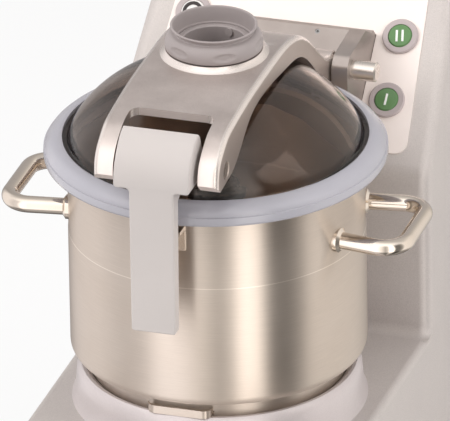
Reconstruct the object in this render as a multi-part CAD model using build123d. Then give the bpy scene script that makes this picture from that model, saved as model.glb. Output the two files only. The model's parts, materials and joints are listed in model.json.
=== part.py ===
from build123d import *
import math
import os

# A bench bowl cutter: a motor base with a sloped console, a lift-off bowl and a hinged lid.
# Lengths are millimetres and angles are degrees. X is the width, Y runs from front to back, Z is up.
# The origin lies on the ground under the middle of the machine.

# Housing
BASE_LENGTH = 556
BASE_BACK_Y = BASE_LENGTH / 2
BASE_FRONT_Y = -BASE_LENGTH / 2
BASE_HALF_WIDTH = 162
BASE_CORNER_RADIUS = 34
BOTTOM_LIP = 12
DECK_Z = 265
DECK_EDGE_RADIUS = 8
FOOT_HEIGHT = 10
FOOT_RADIUS = 20
FOOT_INSET = 34
PLATE_THICKNESS = 2
WALL = 4
COLUMN_DEPTH = 192.8
COLUMN_FRONT_Y = BASE_BACK_Y - COLUMN_DEPTH
COLUMN_TOP_Z = 600
COLUMN_EDGE_RADIUS = 12
BACK_EDGE_RADIUS = 10
CROWN_RADIUS = 7
COLUMN_TAPER = 0.094
COLUMN_COVE_RADIUS = 11
FOLD_Z = 436.4
FOLD_RADIUS = 26
CONSOLE_SLOPE = 46
SERVICE_MARGIN = 50
SERVICE_HALF_WIDTH = BASE_HALF_WIDTH - SERVICE_MARGIN
SERVICE_LOW_Z = 70
SERVICE_HIGH_Z = 520
SERVICE_LAP = 14
SERVICE_CORNER_RADIUS = 10
SERVICE_SCREW_RADIUS = 2.5
SERVICE_SCREW_INSET = 40
SERVICE_SCREW_HEAD = 2.5
COVER_THICKNESS = 1.5
COVER_SLOTS = 5
SLOT_PITCH = 14
SLOT_LENGTH = 60
SLOT_WIDTH = 5
SLOT_GAP = 20
SLOT_LIFT = 70
GLAND_MARGIN = 30
GLAND_X = GLAND_MARGIN - BASE_HALF_WIDTH
GLAND_Z = 50
GLAND_RADIUS = 10
GLAND_STAND = 6
GLAND_WALL = 4
GLAND_NUT = 6
BRIDGE = 4 * WALL

# Control panel, with lengths up the slope counted from the fold
PANEL_MARGIN = 26
PANEL_THICKNESS = 1.2
PANEL_LOW = 20
PANEL_HIGH = 214
PANEL_CORNER_RADIUS = 12
PANEL_CLEARANCE = 0.5
BUTTON_MARGIN = 57
BUTTON_X = BASE_HALF_WIDTH - BUTTON_MARGIN
START_ROW = 73
UPPER_ROW = 139.5
BUTTON_RADIUS = 11.8
BUTTON_CLEARANCE = 0.3
BUTTON_STAND = 4.2
BUTTON_TRAVEL = 3
BUTTON_CAP_DEPTH = 6
BUTTON_STEM_RADIUS = 4
BUTTON_CROWN = 0.6
BUTTON_EDGE = 1.2
BEZEL_RADIUS = 17.8
BEZEL_HEIGHT = 3.4
BEZEL_BARREL_WALL = 2
BEZEL_BARREL_DEPTH = 24
BEZEL_NUT = 5
CONTACT_BLOCK_SIZE = 30
CONTACT_BLOCK_DEPTH = 26
CONTACT_GROOVE = 8

# Switchgear inside the base
SWITCHGEAR_SETBACK = 82
SWITCHGEAR_Y = BASE_BACK_Y - SWITCHGEAR_SETBACK
SWITCHGEAR_LOW_Z = 60
SWITCHGEAR_HIGH_Z = 330
SWITCHGEAR_FLANGE = 18
CONTACTOR_LIFT = 110
CONTACTOR_WIDTH = 50
CONTACTOR_HEIGHT = 84
CONTACTOR_DEPTH = 50
CONTACTOR_GAP = 8
CONTACTOR_NOSE = 30
CONTACTOR_NOSE_WIDTH = 40
CONTACTOR_NOSE_HEIGHT = 40
TERMINALS = 6
TERMINAL_PITCH = 20
TERMINAL_WALL = 4
TERMINAL_LIFT = 40
TERMINAL_HEIGHT = 40
TERMINAL_DEPTH = 34
TERMINAL_POCKET = 14
LID_SWITCH_WIDTH = 24
LID_SWITCH_LENGTH = 26
LID_SWITCH_DEPTH = 14
LID_SWITCH_OFFSET = 24

# Bowl and its seat
BOWL_SETBACK = 165.2
BOWL_Y = COLUMN_FRONT_Y - BOWL_SETBACK
BOWL_RADIUS = 143
BOWL_UPPER_STEP = 0.4
BOWL_WALL = 1.6
BOWL_FLOOR = 2.5
BOWL_FLOOR_Z = 318
BOWL_RIM_Z = 520
BOWL_RIM_RADIUS = 150.5
BOWL_SEAM_Z = 444.6
BOWL_CORNER_RADIUS = 10
BOWL_RIM_ROLL = 1.2
BOWL_RIM_LIP = 3
BOWL_TUBE_RADIUS = 22
BOWL_TUBE_WALL = 2
BOWL_TUBE_TOP_Z = 452
SKIRT_RADIUS = 124
SKIRT_WALL = 3
SKIRT_FLANGE = 12
SEAT_TOP_Z = 303
SEAT_TOP_RADIUS = 134
SEAT_FOOT_RADIUS = 142.7
SEAT_WEB_Z = 289
SEAT_WEB_THICKNESS = 8
SEAT_BORE_RADIUS = 46
SEAT_RUNNING_GAP = 1
SEAT_SCREW_CIRCLE = 135.5
SEAT_SCREW_RADIUS = 3
SEAT_SCREW_DEPTH = 12
SEAT_SCREWS = 6
SEAT_SCREW_HEAD = 5
TAB_HALF_WIDTH = 32
TAB_REACH = 134
TAB_CORNER_RADIUS = 9
TAB_THICKNESS = 3
TAB_LIP_HEIGHT = 8
TAB_LIP_THICKNESS = 2.5
HANDLE_Z = 465.5
HANDLE_TUBE_RADIUS = 8.2
HANDLE_REACH = 198.3
HANDLE_ROOT_ANGLE = 18.2
HANDLE_SPLAY = 8
HANDLE_BEND_RADIUS = 22
HANDLE_COLLAR_RADIUS = 12
HANDLE_COLLAR_HEIGHT = 4

# Motor and drive
SHAFT_RADIUS = 14
SHAFT_JOURNAL_RADIUS = 16
SHAFT_BOTTOM_Z = 36
SHAFT_TOP_Z = 468
SHAFT_HEX_WIDTH = 20
BEARING_RADIUS = 31
BEARING_HEIGHT = 18
LOWER_BEARING_RADIUS = 22
LOWER_BEARING_HEIGHT = 14
BEARING_FIT = 0.02
LOWER_JOURNAL_RADIUS = 12
MOTOR_RADIUS = 90
MOTOR_FIN_HEIGHT = 8
MOTOR_FINS = 20
MOTOR_FIN_WIDTH = 2.4
SHIELD_WINDOWS = 6
SHIELD_WINDOW_CIRCLE = 58
SHIELD_WINDOW_RADIUS = 12
MOTOR_WALL = 6
MOTOR_LOW_Z = 72
MOTOR_HIGH_Z = 250
MOTOR_FLANGE_RADIUS = 122
FLANGE_BOLT_CIRCLE = 109
FLANGE_BOLT_RADIUS = 4
FLANGE_BOLTS = 4
FLANGE_BOLT_HEAD = 6
FLANGE_BOLT_NUT = 7
FLANGE_BOLT_END = 5
SPIGOT_HEIGHT = 15
SPIGOT_CLEARANCE = 0.5
SHAFT_SEAL_RADIUS = 26
SHAFT_STEP_RISE = 5
HEX_LENGTH = 14
ROTOR_RADIUS = 51
AIR_GAP = 0.5
STATOR_SLOTS = 12
STATOR_SLOT_DEPTH = 14
STATOR_SLOT_WIDTH = 6
END_RING_HEIGHT = 8
STACK_LOW_Z = 110
STACK_HIGH_Z = 205
WINDING_REACH = 22
FAN_RADIUS = 76
FAN_BLADES = 7
FAN_CLEARANCE = 4
FAN_THICKNESS = 2

# Blades
HUB_CLEARANCE = 0.6
HUB_FOOT_RADIUS = 38
HUB_NECK_RADIUS = 29
HUB_TOP_Z = 478
HUB_FOOT_Z = 321.5
HUB_ROOF = 3
BLADE_THICKNESS = 2.4
BLADE_REACH = 137
BLADE_EYE_RADIUS = 47
LOWER_BLADE_Z = 326
BLADE_RISE = 26
BLADE_TIP_ANGLE = 78
BLADE_BACK_ANGLE = 62
BLADE_BACK_SHARE = 0.42
BLADE_GROUND_SHARE = 0.7
CAP_RADIUS = 22
CAP_HEIGHT = 14
CAP_GRIPS = 6
CAP_GRIP_RADIUS = 5

# Lid hinge
HINGE_SETBACK = 21.8
HINGE_Y = COLUMN_FRONT_Y + HINGE_SETBACK
HINGE_Z = 532
HINGE_PIN_RADIUS = 8
HINGE_RUNNING_FIT = 0.06
BARREL_RADIUS = 16
BUSH_WALL = 2
BUSH_FLANGE = 1.8
BUSH_FLANGE_RADIUS = 12
BUSH_LENGTH = 20
EAR_INNER_X = 64
EAR_THICKNESS = 16
BRACKET_LOW = 65
BRACKET_HIGH = 139
BRACKET_THICKNESS = 16
BRACKET_BOLT_RADIUS = 4
BRACKET_BOLT_INSET = 16
BRACKET_BOLT_HEAD = 7
BRACKET_BOLT_COVER = 4
BRACKET_CHAMFER = 4
EAR_NOSE_RADIUS = 18
GRUB_RADIUS = 2.6
GRUB_X = 26
GRUB_INSET = 9
GRUB_LENGTH = 7.4
GRUB_DEPTH = 0.6
PIN_HEAD_RADIUS = 9.8
PIN_HEAD_LENGTH = 22
PIN_COLLAR = 3
PIN_HEAD_CHAMFER = 1.6

# Lid arm
ARM_HALF_WIDTH = 62
ARM_TOP_Z = 627
ARM_PLATE = 9
ARM_FLANGE = 8
ARM_REACH = 190
ARM_FRONT_Y = BOWL_Y - ARM_REACH
ARM_EDGE_RADIUS = 6
PRONG_LOW_Z = 573
WINDOW_CORNER_RADIUS = 10
MAGNET_RADIUS = 6
MAGNET_DEPTH = 5
WINDOW_HALF_WIDTH = 42
WINDOW_SETBACK = 127
WINDOW_BACK_Y = BOWL_Y - WINDOW_SETBACK
COLLAR_RADIUS = 47
COLLAR_TOP_Z = 632.4
COLLAR_FOOT_RADIUS = 56
LATCH_REACH = 162
LATCH_PIVOT_Y = BOWL_Y - LATCH_REACH
LATCH_PIVOT_Z = 585
LATCH_PIN_RADIUS = 5
LATCH_PIN_HEAD_RADIUS = 9
LATCH_PIN_RECESS = 2
LATCH_RUNNING_FIT = 0.06

# Dome and seal
DOME_THICKNESS = 4
DOME_TOP_Z = 602
DOME_FLAT_RADIUS = 56
DOME_SHOULDER_RADIUS = 138
DOME_SHOULDER_Z = 548
DOME_FLANGE_RADIUS = 152
DOME_FLANGE_Z = 534
SEAL_RADIUS = 165.2
SEAL_INNER_RADIUS = 141
SEAL_GAP = 0.3
SEAL_TOP_Z = 541.5
CLAMP_THICKNESS = 5
CLAMP_RADIUS = 55
CLAMP_SCREW_CIRCLE = 48
CLAMP_SCREW_RADIUS = 2
CLAMP_SCREWS = 4
CLAMP_SCREW_DEPTH = 10
CLAMP_SCREW_HEAD = 2

# Wiper and its feed knob
WIPER_TUBE_RADIUS = 36
WIPER_TUBE_WALL = 6
WIPER_TUBE_TOP_Z = 640
WIPER_TUBE_LOW_Z = 576
WIPER_BUSH_WALL = 4
WIPER_RUNNING_FIT = 0.06
KNOB_RADIUS = 48
KNOB_RIM_RADIUS = 41.5
KNOB_TOP_Z = 656.6
KNOB_GAP = 1.0
KNOB_RECESSES = 6
KNOB_SCREW_Z = 635
KNOB_SCREW_RADIUS = 2
KNOB_SCREW_DEPTH = 3
KNOB_SCREW_ANGLE = 78
WIPER_REACH = 137.5
WIPER_LOW_Z = 488
WIPER_THICKNESS = 10
WIPER_HUB_HEIGHT = 14
WIPER_STRIP = 2
WIPER_ANGLE = 5

# Latch lever
LEVER_SEAL_GAP = 23.8
LEVER_THICKNESS = 15
LEVER_REACH = SEAL_RADIUS + LEVER_SEAL_GAP + LEVER_THICKNESS
LEVER_FRONT_Y = BOWL_Y - LEVER_REACH
LEVER_LOW_Z = 425
LEVER_HALF_WIDTH = 22
LEVER_EDGE_RADIUS = 2
LEVER_BOSS_RADIUS = 10
HEAD_HALF_WIDTH = 37.5
HEAD_LOW_Z = 574
HEAD_TOP_Z = 623
HOOK_HALF_WIDTH = 10
HOOK_THICKNESS = 4
HOOK_CLEARANCE = 1.7
KEEPER_HALF_WIDTH = 14
KEEPER_Z = 512
KEEPER_LIP = 3.5
KEEPER_REACH = 17

SLOPE_SIN = math.sin(math.radians(CONSOLE_SLOPE))
SLOPE_COS = math.cos(math.radians(CONSOLE_SLOPE))
BASE_Z = FOOT_HEIGHT + PLATE_THICKNESS
SLOPE = Plane(origin=(0, COLUMN_FRONT_Y, FOLD_Z), x_dir=(1, 0, 0), z_dir=(0, -SLOPE_COS, SLOPE_SIN))
AXIS = Pos(0, BOWL_Y, 0)
BOWL_TOP_RADIUS = BOWL_RADIUS - BOWL_UPPER_STEP
BOTTOM_ALIGN = (Align.CENTER, Align.CENTER, Align.MIN)


def disc(radius, low, high):
    """A cylinder about Z between two heights."""
    return Pos(0, 0, low) * Cylinder(radius, high - low, align=BOTTOM_ALIGN)


def ring(inner, outer, low, high):
    """A plain ring about Z between two heights."""
    return disc(outer, low, high) - disc(inner, low - 1, high + 1)


def rod(radius, start, end):
    """A cylinder along X between two positions."""
    return Pos(start, 0, 0) * Rot(0, 90, 0) * Cylinder(radius, end - start, align=BOTTOM_ALIGN)


def block(low, high):
    """A box between two opposite corners."""
    size = [high[i] - low[i] for i in range(3)]
    return Pos(*low) * Box(*size, align=(Align.MIN, Align.MIN, Align.MIN))


def turned(points):
    """A solid turned about Z from an outline of radius and height."""
    return revolve(Plane.XZ * make_face(Polyline(*points, close=True)), Axis.Z)


def side_cut(points, half_width):
    """A prism along X from an outline of Y and Z."""
    return across(make_face(Polyline(*points, close=True)), half_width)


def across(side_view, half_width):
    """A side view drawn in Y and Z, made solid from one X side to the other."""
    return extrude(Plane.YZ.offset(-half_width) * side_view, amount=2 * half_width)


def around(shape, count, start=0):
    """Copies of a shape evenly spaced about Z."""
    return [Rot(0, 0, start + 360 * i / count) * shape for i in range(count)]


def group(shapes):
    """Separate solids kept together in one node."""
    return Compound([solid for shape in shapes for solid in shape.solids()])


def on_slope(shape, place_x, length):
    """A shape drawn about Z, set square on the console at a place up its slope."""
    return SLOPE * Pos(place_x, length, 0) * shape


def near(shape, low, high):
    """The edges of a shape whose middle lies inside a box."""
    def inside(edge):
        middle = edge.center()
        place = (middle.X, middle.Y, middle.Z)
        return all(low[i] <= place[i] <= high[i] for i in range(3))
    return [edge for edge in shape.edges() if inside(edge)]


def slope_point(length, stand=0):
    """Y and Z of a place on the console, up the slope and out from it."""
    return (COLUMN_FRONT_Y + length * SLOPE_SIN - stand * SLOPE_COS,
            FOLD_Z + length * SLOPE_COS + stand * SLOPE_SIN)


def plan(height, front, back, half, front_radius, back_radius):
    """A level outline with rounded corners at the front and the back."""
    outline = make_face(Polyline((-half, front), (half, front), (half, back), (-half, back), close=True))
    corners = outline.vertices().sort_by(Axis.Y)
    outline = fillet(corners[:2], front_radius)
    corners = outline.vertices().sort_by(Axis.Y)
    outline = fillet(corners[-2:], back_radius)
    return Pos(0, 0, height) * outline


def base_form(inset):
    """The base's outer or inner form, with its deck edge rounded over."""
    half = BASE_HALF_WIDTH - inset
    outline = plan(BASE_Z, BASE_FRONT_Y + inset, BASE_BACK_Y - inset, half,
                   BASE_CORNER_RADIUS - inset, BACK_EDGE_RADIUS - inset)
    form = extrude(outline, amount=DECK_Z - inset - BASE_Z)
    return fillet(form.edges().group_by(Axis.Z)[-1], DECK_EDGE_RADIUS - inset)


def column_front(height, inset):
    """The column's front Y at a height: upright, rounded at the fold, then sloped."""
    bend = FOLD_RADIUS - inset
    bend_z = FOLD_Z - FOLD_RADIUS * math.tan(math.radians(CONSOLE_SLOPE / 2))
    bend_top = bend_z + bend * SLOPE_SIN
    if height <= bend_z:
        return COLUMN_FRONT_Y + inset
    if height < bend_top:
        return COLUMN_FRONT_Y + FOLD_RADIUS - math.sqrt(bend ** 2 - (height - bend_z) ** 2)
    return COLUMN_FRONT_Y + (height - FOLD_Z) * SLOPE_SIN / SLOPE_COS + inset / SLOPE_COS


def column_form(inset):
    """The console column's outer or inner form, lofted through level outlines."""
    bend = FOLD_RADIUS - inset
    bend_z = FOLD_Z - FOLD_RADIUS * math.tan(math.radians(CONSOLE_SLOPE / 2))
    crown = CROWN_RADIUS - inset
    crown_z = COLUMN_TOP_Z - CROWN_RADIUS
    sections = [(DECK_Z - 2 * DECK_EDGE_RADIUS, 0), (bend_z, 0)]
    sections += [(bend_z + bend * math.sin(math.radians(CONSOLE_SLOPE * i / 3)), 0) for i in (1, 2, 3)]
    for turn in (0, 45, 90):
        angle = math.radians(turn)
        sections.append((crown_z + crown * math.sin(angle), crown * (1 - math.cos(angle))))
    outlines = []
    for height, drawn_in in sections:
        half = BASE_HALF_WIDTH - inset - drawn_in - COLUMN_TAPER * max(0, height - FOLD_Z)
        front = column_front(min(height, crown_z), inset) + drawn_in
        back = BASE_BACK_Y - inset - drawn_in
        front_radius = COLUMN_EDGE_RADIUS - inset - drawn_in
        back_radius = BACK_EDGE_RADIUS - inset - drawn_in
        outlines.append(plan(height, front, back, half, front_radius, back_radius))
    return loft(outlines, ruled=True)


def column_cove():
    """The hollow round that runs along the column's foot and around its corners."""
    size = COLUMN_COVE_RADIUS
    low = DECK_Z - 1
    profile = make_face([Line((0, low), (-size, low)), Line((-size, low), (-size, DECK_Z)),
                         RadiusArc((-size, DECK_Z), (0, DECK_Z + size), -size),
                         Line((0, DECK_Z + size), (0, low))])
    straight = BASE_HALF_WIDTH - COLUMN_EDGE_RADIUS
    front = Pos(0, COLUMN_FRONT_Y, 0) * across(profile, straight)
    start = Pos(0, -COLUMN_EDGE_RADIUS, 0) * (Plane.YZ * profile)
    turn = revolve(start, Axis.Z, 90)
    corner = Pos(straight, COLUMN_FRONT_Y + COLUMN_EDGE_RADIUS, 0) * turn
    limit = block((-BASE_HALF_WIDTH, 0, low), (BASE_HALF_WIDTH, BASE_BACK_Y, DECK_Z + size + 1))
    return (front + corner + mirror(corner, Plane.YZ)) & limit


def button_places():
    """Each button's place across and up the console: stop, speed one, speed two."""
    return [(-BUTTON_X, UPPER_ROW), (BUTTON_X, START_ROW), (BUTTON_X, UPPER_ROW)]


def barrel_radius():
    """The outer radius of a button's threaded barrel."""
    return BUTTON_RADIUS + BUTTON_CLEARANCE + BEZEL_BARREL_WALL


def bracket_bolt_places():
    """The places of the hinge bracket's bolts across and up the console."""
    spread = EAR_INNER_X - BRACKET_BOLT_INSET
    low = BRACKET_LOW + BRACKET_BOLT_INSET
    high = BRACKET_HIGH - BRACKET_BOLT_INSET
    return [(-spread, low), (spread, low), (-spread, high), (spread, high)]


def housing():
    """The one-piece cast shell of the base and the console."""
    shell = base_form(0) + column_form(0) + column_cove()
    hollow = base_form(WALL) + column_form(WALL)
    shell -= hollow
    lip = BASE_HALF_WIDTH - WALL - BOTTOM_LIP
    floor = block((-lip, BASE_FRONT_Y + WALL + BOTTOM_LIP, BASE_Z - 1),
                  (lip, BASE_BACK_Y - WALL - BOTTOM_LIP, BASE_Z + 2 * WALL))
    lip_ring = extrude(plan(BASE_Z, BASE_FRONT_Y + 1, BASE_BACK_Y - 1, BASE_HALF_WIDTH - 1,
                            BASE_CORNER_RADIUS - 1, BACK_EDGE_RADIUS - 1), amount=WALL) - floor
    shell += lip_ring
    shell -= AXIS * disc(SEAT_BORE_RADIUS, DECK_Z - WALL - 1, DECK_Z + 1)
    bolt = Pos(FLANGE_BOLT_CIRCLE, 0, 0) * disc(FLANGE_BOLT_RADIUS, DECK_Z - 2 * WALL, DECK_Z + 1)
    for hole in around(bolt, FLANGE_BOLTS, 45):
        shell -= AXIS * hole
    screw = Pos(SEAT_SCREW_CIRCLE, 0, 0) * disc(SEAT_SCREW_RADIUS, DECK_Z - 2 * WALL, DECK_Z + 1)
    for hole in around(screw, SEAT_SCREWS):
        shell -= AXIS * hole
    for place_x, length in button_places():
        shell -= on_slope(disc(barrel_radius(), -BRIDGE, 1), place_x, length)
    for place_x, length in bracket_bolt_places():
        shell -= on_slope(disc(BRACKET_BOLT_RADIUS, -BRIDGE, 1), place_x, length)
    opening = service_plate(SERVICE_HALF_WIDTH - SERVICE_LAP, SERVICE_LOW_Z + SERVICE_LAP,
                            SERVICE_HIGH_Z - SERVICE_LAP, BASE_BACK_Y - 2 * WALL, BASE_BACK_Y + 1)
    shell -= opening
    for place in service_screw_places():
        shell -= Pos(*place) * Rot(90, 0, 0) * Cylinder(SERVICE_SCREW_RADIUS, BRIDGE)
    shell -= Pos(GLAND_X, BASE_BACK_Y, GLAND_Z) * Rot(90, 0, 0) * Cylinder(GLAND_RADIUS, BRIDGE)
    return shell


def service_plate(half, low, high, front, back):
    """An upright plate with rounded corners, between two Y positions."""
    outline = make_face(Polyline((-half, low), (half, low), (half, high), (-half, high), close=True))
    outline = fillet(outline.vertices(), SERVICE_CORNER_RADIUS)
    return extrude(Plane.XZ.offset(-back) * outline, amount=back - front)


def service_screw_places():
    """The screws of the service cover, in its margin all round."""
    screw_x = SERVICE_HALF_WIDTH - SERVICE_LAP / 2
    low = SERVICE_LOW_Z + SERVICE_SCREW_INSET
    high = SERVICE_HIGH_Z - SERVICE_SCREW_INSET
    heights = [low, (low + high) / 2, high]
    return [(side * screw_x, BASE_BACK_Y, height) for side in (-1, 1) for height in heights]


def service_cover():
    """The rear cover with its rows of slanted air slots."""
    cover = service_plate(SERVICE_HALF_WIDTH, SERVICE_LOW_Z, SERVICE_HIGH_Z, BASE_BACK_Y,
                          BASE_BACK_Y + COVER_THICKNESS)
    for row in range(COVER_SLOTS):
        height = SERVICE_LOW_Z + SLOT_LIFT + row * SLOT_PITCH
        for side in (-1, 1):
            middle = side * (SLOT_LENGTH + SLOT_GAP) / 2
            slot = Pos(middle, height) * SlotOverall(SLOT_LENGTH, SLOT_WIDTH)
            cover -= extrude(Plane.XZ.offset(-BASE_BACK_Y) * slot, amount=2 * COVER_THICKNESS, both=True)
    for place in service_screw_places():
        cover -= Pos(*place) * Rot(90, 0, 0) * Cylinder(SERVICE_SCREW_RADIUS, 4 * COVER_THICKNESS)
    return cover


def service_screws():
    """The pan-head screws that hold the rear cover."""
    face = BASE_BACK_Y + COVER_THICKNESS
    screws = []
    for x, y, z in service_screw_places():
        shank = Pos(x, face, z) * Rot(90, 0, 0) * disc(SERVICE_SCREW_RADIUS, 0, COVER_THICKNESS + WALL + 3)
        head = Pos(x, face, z) * Rot(-90, 0, 0) * disc(2 * SERVICE_SCREW_RADIUS, 0, SERVICE_SCREW_HEAD)
        screws.append(shank + head)
    return group(screws)


def bottom_plate():
    """The steel plate under the base, with air slots under the fan."""
    inset = WALL + 1
    plate = extrude(plan(FOOT_HEIGHT, BASE_FRONT_Y + inset, BASE_BACK_Y - inset, BASE_HALF_WIDTH - inset,
                         BASE_CORNER_RADIUS - inset, BACK_EDGE_RADIUS - inset), amount=PLATE_THICKNESS)
    for column in range(-2, 3):
        slot = Pos(column * SLOT_PITCH * 1.5, BOWL_Y, FOOT_HEIGHT) * Rot(0, 0, 90) * SlotOverall(
            SLOT_LENGTH, SLOT_WIDTH)
        plate -= extrude(slot, amount=2 * PLATE_THICKNESS, both=True)
    return plate


def feet():
    """Four round rubber feet, tapered to the ground."""
    foot = turned([(0, 0), (FOOT_RADIUS - 2, 0), (FOOT_RADIUS, FOOT_HEIGHT - 2), (FOOT_RADIUS, FOOT_HEIGHT),
                   (0, FOOT_HEIGHT)])
    x = BASE_HALF_WIDTH - FOOT_INSET
    y = BASE_BACK_Y - FOOT_INSET
    return group([Pos(sx * x, sy * y, 0) * foot for sx in (-1, 1) for sy in (-1, 1)])


def cable_gland():
    """The supply cable's gland in the rear wall, with its lock nut inside."""
    out = Pos(GLAND_X, BASE_BACK_Y, GLAND_Z) * Rot(-90, 0, 0)
    back = -WALL - GLAND_NUT
    body = disc(GLAND_RADIUS, back - 2, 0) + disc(GLAND_RADIUS + GLAND_WALL, 0, GLAND_STAND)
    nut = extrude(Pos(0, 0, back) * RegularPolygon(1.5 * GLAND_RADIUS, 6), amount=GLAND_NUT)
    body = body + nut - disc(GLAND_RADIUS - GLAND_WALL, 2 * back, 2 * GLAND_STAND)
    return out * body


def control_panel():
    """The pale sheet-metal panel on the console, tapered like the column."""
    low_half = BASE_HALF_WIDTH - PANEL_MARGIN - COLUMN_TAPER * SLOPE_COS * PANEL_LOW
    high_half = BASE_HALF_WIDTH - PANEL_MARGIN - COLUMN_TAPER * SLOPE_COS * PANEL_HIGH
    outline = make_face(Polyline((-low_half, PANEL_LOW), (low_half, PANEL_LOW), (high_half, PANEL_HIGH),
                                 (-high_half, PANEL_HIGH), close=True))
    outline = fillet(outline.vertices(), PANEL_CORNER_RADIUS)
    panel = SLOPE * extrude(outline, amount=PANEL_THICKNESS)
    for place_x, length in button_places():
        panel -= on_slope(disc(barrel_radius(), -1, 2 * PANEL_THICKNESS), place_x, length)
    window = Rectangle(2 * (EAR_INNER_X + EAR_THICKNESS + PANEL_CLEARANCE),
                       BRACKET_HIGH - BRACKET_LOW + 2 * PANEL_CLEARANCE)
    cut = extrude(window, amount=4 * PANEL_THICKNESS, both=True)
    return panel - on_slope(cut, 0, (BRACKET_HIGH + BRACKET_LOW) / 2)


def button_bezels():
    """Each button's flat ring, with the barrel and lock nut behind the console."""
    bore = BUTTON_RADIUS + BUTTON_CLEARANCE
    top = PANEL_THICKNESS + BEZEL_HEIGHT
    back = -BEZEL_BARREL_DEPTH
    section = turned([(bore, back), (barrel_radius(), back), (barrel_radius(), PANEL_THICKNESS),
                      (BEZEL_RADIUS, PANEL_THICKNESS), (BEZEL_RADIUS, top - 1), (BEZEL_RADIUS - 1, top),
                      (bore, top)])
    nut = extrude(Pos(0, 0, -WALL - BEZEL_NUT) * RegularPolygon(BEZEL_RADIUS, 6), amount=BEZEL_NUT)
    section += nut - disc(barrel_radius() - 1, back, 0)
    return group([on_slope(section, place_x, length) for place_x, length in button_places()])


def button(place_x, length):
    """A push button: a slightly domed cap on a stem that reaches its contact block."""
    top = PANEL_THICKNESS + BUTTON_STAND
    back = -BEZEL_BARREL_DEPTH + BUTTON_TRAVEL + 1
    stem = BUTTON_STEM_RADIUS
    cap = turned([(0, back), (stem, back), (stem, -BUTTON_CAP_DEPTH), (BUTTON_RADIUS, -BUTTON_CAP_DEPTH),
                  (BUTTON_RADIUS, top - BUTTON_EDGE), (BUTTON_RADIUS - BUTTON_EDGE, top),
                  (0, top + BUTTON_CROWN)])
    return on_slope(cap, place_x, length)


def contact_blocks():
    """The switch contacts clipped to the back of the three button barrels."""
    half = CONTACT_BLOCK_SIZE / 2
    low = -BEZEL_BARREL_DEPTH - CONTACT_BLOCK_DEPTH
    groove = CONTACT_GROOVE
    form = block((-half, -half, low), (half, half, -BEZEL_BARREL_DEPTH))
    form -= block((-half - 1, -groove / 2, low - 1), (half + 1, groove / 2, low + groove))
    return group([on_slope(form, place_x, length) for place_x, length in button_places()])


def electrical_plate():
    """The folded plate across the inside of the base that carries the switchgear."""
    half = BASE_HALF_WIDTH - WALL
    y = SWITCHGEAR_Y
    plate = block((-half, y, SWITCHGEAR_LOW_Z), (half, y + PLATE_THICKNESS, SWITCHGEAR_HIGH_Z))
    for side in (-1, 1):
        edge = side * (half - PLATE_THICKNESS / 2)
        plate += block((edge - PLATE_THICKNESS / 2, y, SWITCHGEAR_LOW_Z),
                       (edge + PLATE_THICKNESS / 2, y + SWITCHGEAR_FLANGE, SWITCHGEAR_HIGH_Z))
    return plate


def contactors():
    """The two speed contactors, stepped blocks side by side on the plate."""
    low = SWITCHGEAR_LOW_Z + CONTACTOR_LIFT
    face = SWITCHGEAR_Y - CONTACTOR_DEPTH
    half = CONTACTOR_WIDTH / 2
    nose_half = CONTACTOR_NOSE_WIDTH / 2
    nose_low = low + (CONTACTOR_HEIGHT - CONTACTOR_NOSE_HEIGHT) / 2
    form = block((-half, face, low), (half, SWITCHGEAR_Y, low + CONTACTOR_HEIGHT))
    form += block((-nose_half, face - CONTACTOR_NOSE, nose_low),
                  (nose_half, face, nose_low + CONTACTOR_NOSE_HEIGHT))
    apart = (CONTACTOR_WIDTH + CONTACTOR_GAP) / 2
    return group([Pos(side * apart, 0, 0) * form for side in (-1, 1)])


def terminal_block():
    """The row of supply terminals below the contactors."""
    low = SWITCHGEAR_LOW_Z + TERMINAL_LIFT
    face = SWITCHGEAR_Y - TERMINAL_DEPTH
    half = TERMINALS * TERMINAL_PITCH / 2
    form = block((-half, face, low), (half, SWITCHGEAR_Y, low + TERMINAL_HEIGHT))
    pocket = TERMINAL_PITCH - 2 * TERMINAL_WALL
    pocket_low = low + TERMINAL_HEIGHT / 4
    for place in range(TERMINALS):
        x = TERMINAL_PITCH * place + TERMINAL_WALL - half
        form -= block((x, face - 1, pocket_low), (x + pocket, face + TERMINAL_POCKET,
                                                  pocket_low + TERMINAL_HEIGHT / 2))
    return form


def seat_ring():
    """The cast turret on the deck: a flared wall, a web and a centring hub for the bowl."""
    web_low = SEAT_WEB_Z - SEAT_WEB_THICKNESS
    inner = SKIRT_RADIUS + SEAT_RUNNING_GAP
    ring_form = turned([(SEAT_FOOT_RADIUS, DECK_Z), (SEAT_FOOT_RADIUS - 1.5, DECK_Z + 3),
                        (SEAT_FOOT_RADIUS - 4, DECK_Z + 12), (SEAT_TOP_RADIUS + 3.4, SEAT_TOP_Z - 8),
                        (SEAT_TOP_RADIUS + 2, SEAT_TOP_Z - 3), (SEAT_TOP_RADIUS - 1, SEAT_TOP_Z),
                        (SEAT_TOP_RADIUS - 4, SEAT_TOP_Z), (inner, SEAT_TOP_Z - 4), (inner, SEAT_WEB_Z),
                        (SEAT_BORE_RADIUS, SEAT_WEB_Z), (SEAT_BORE_RADIUS, DECK_Z),
                        (SEAT_BORE_RADIUS + 8, DECK_Z), (SEAT_BORE_RADIUS + 8, web_low),
                        (inner, web_low), (inner + 4, DECK_Z)])
    screw = Pos(SEAT_SCREW_CIRCLE, 0, 0) * disc(SEAT_SCREW_RADIUS, 0, DECK_Z + SEAT_SCREW_DEPTH)
    for hole in around(screw, SEAT_SCREWS):
        ring_form -= hole
    return AXIS * ring_form


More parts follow.
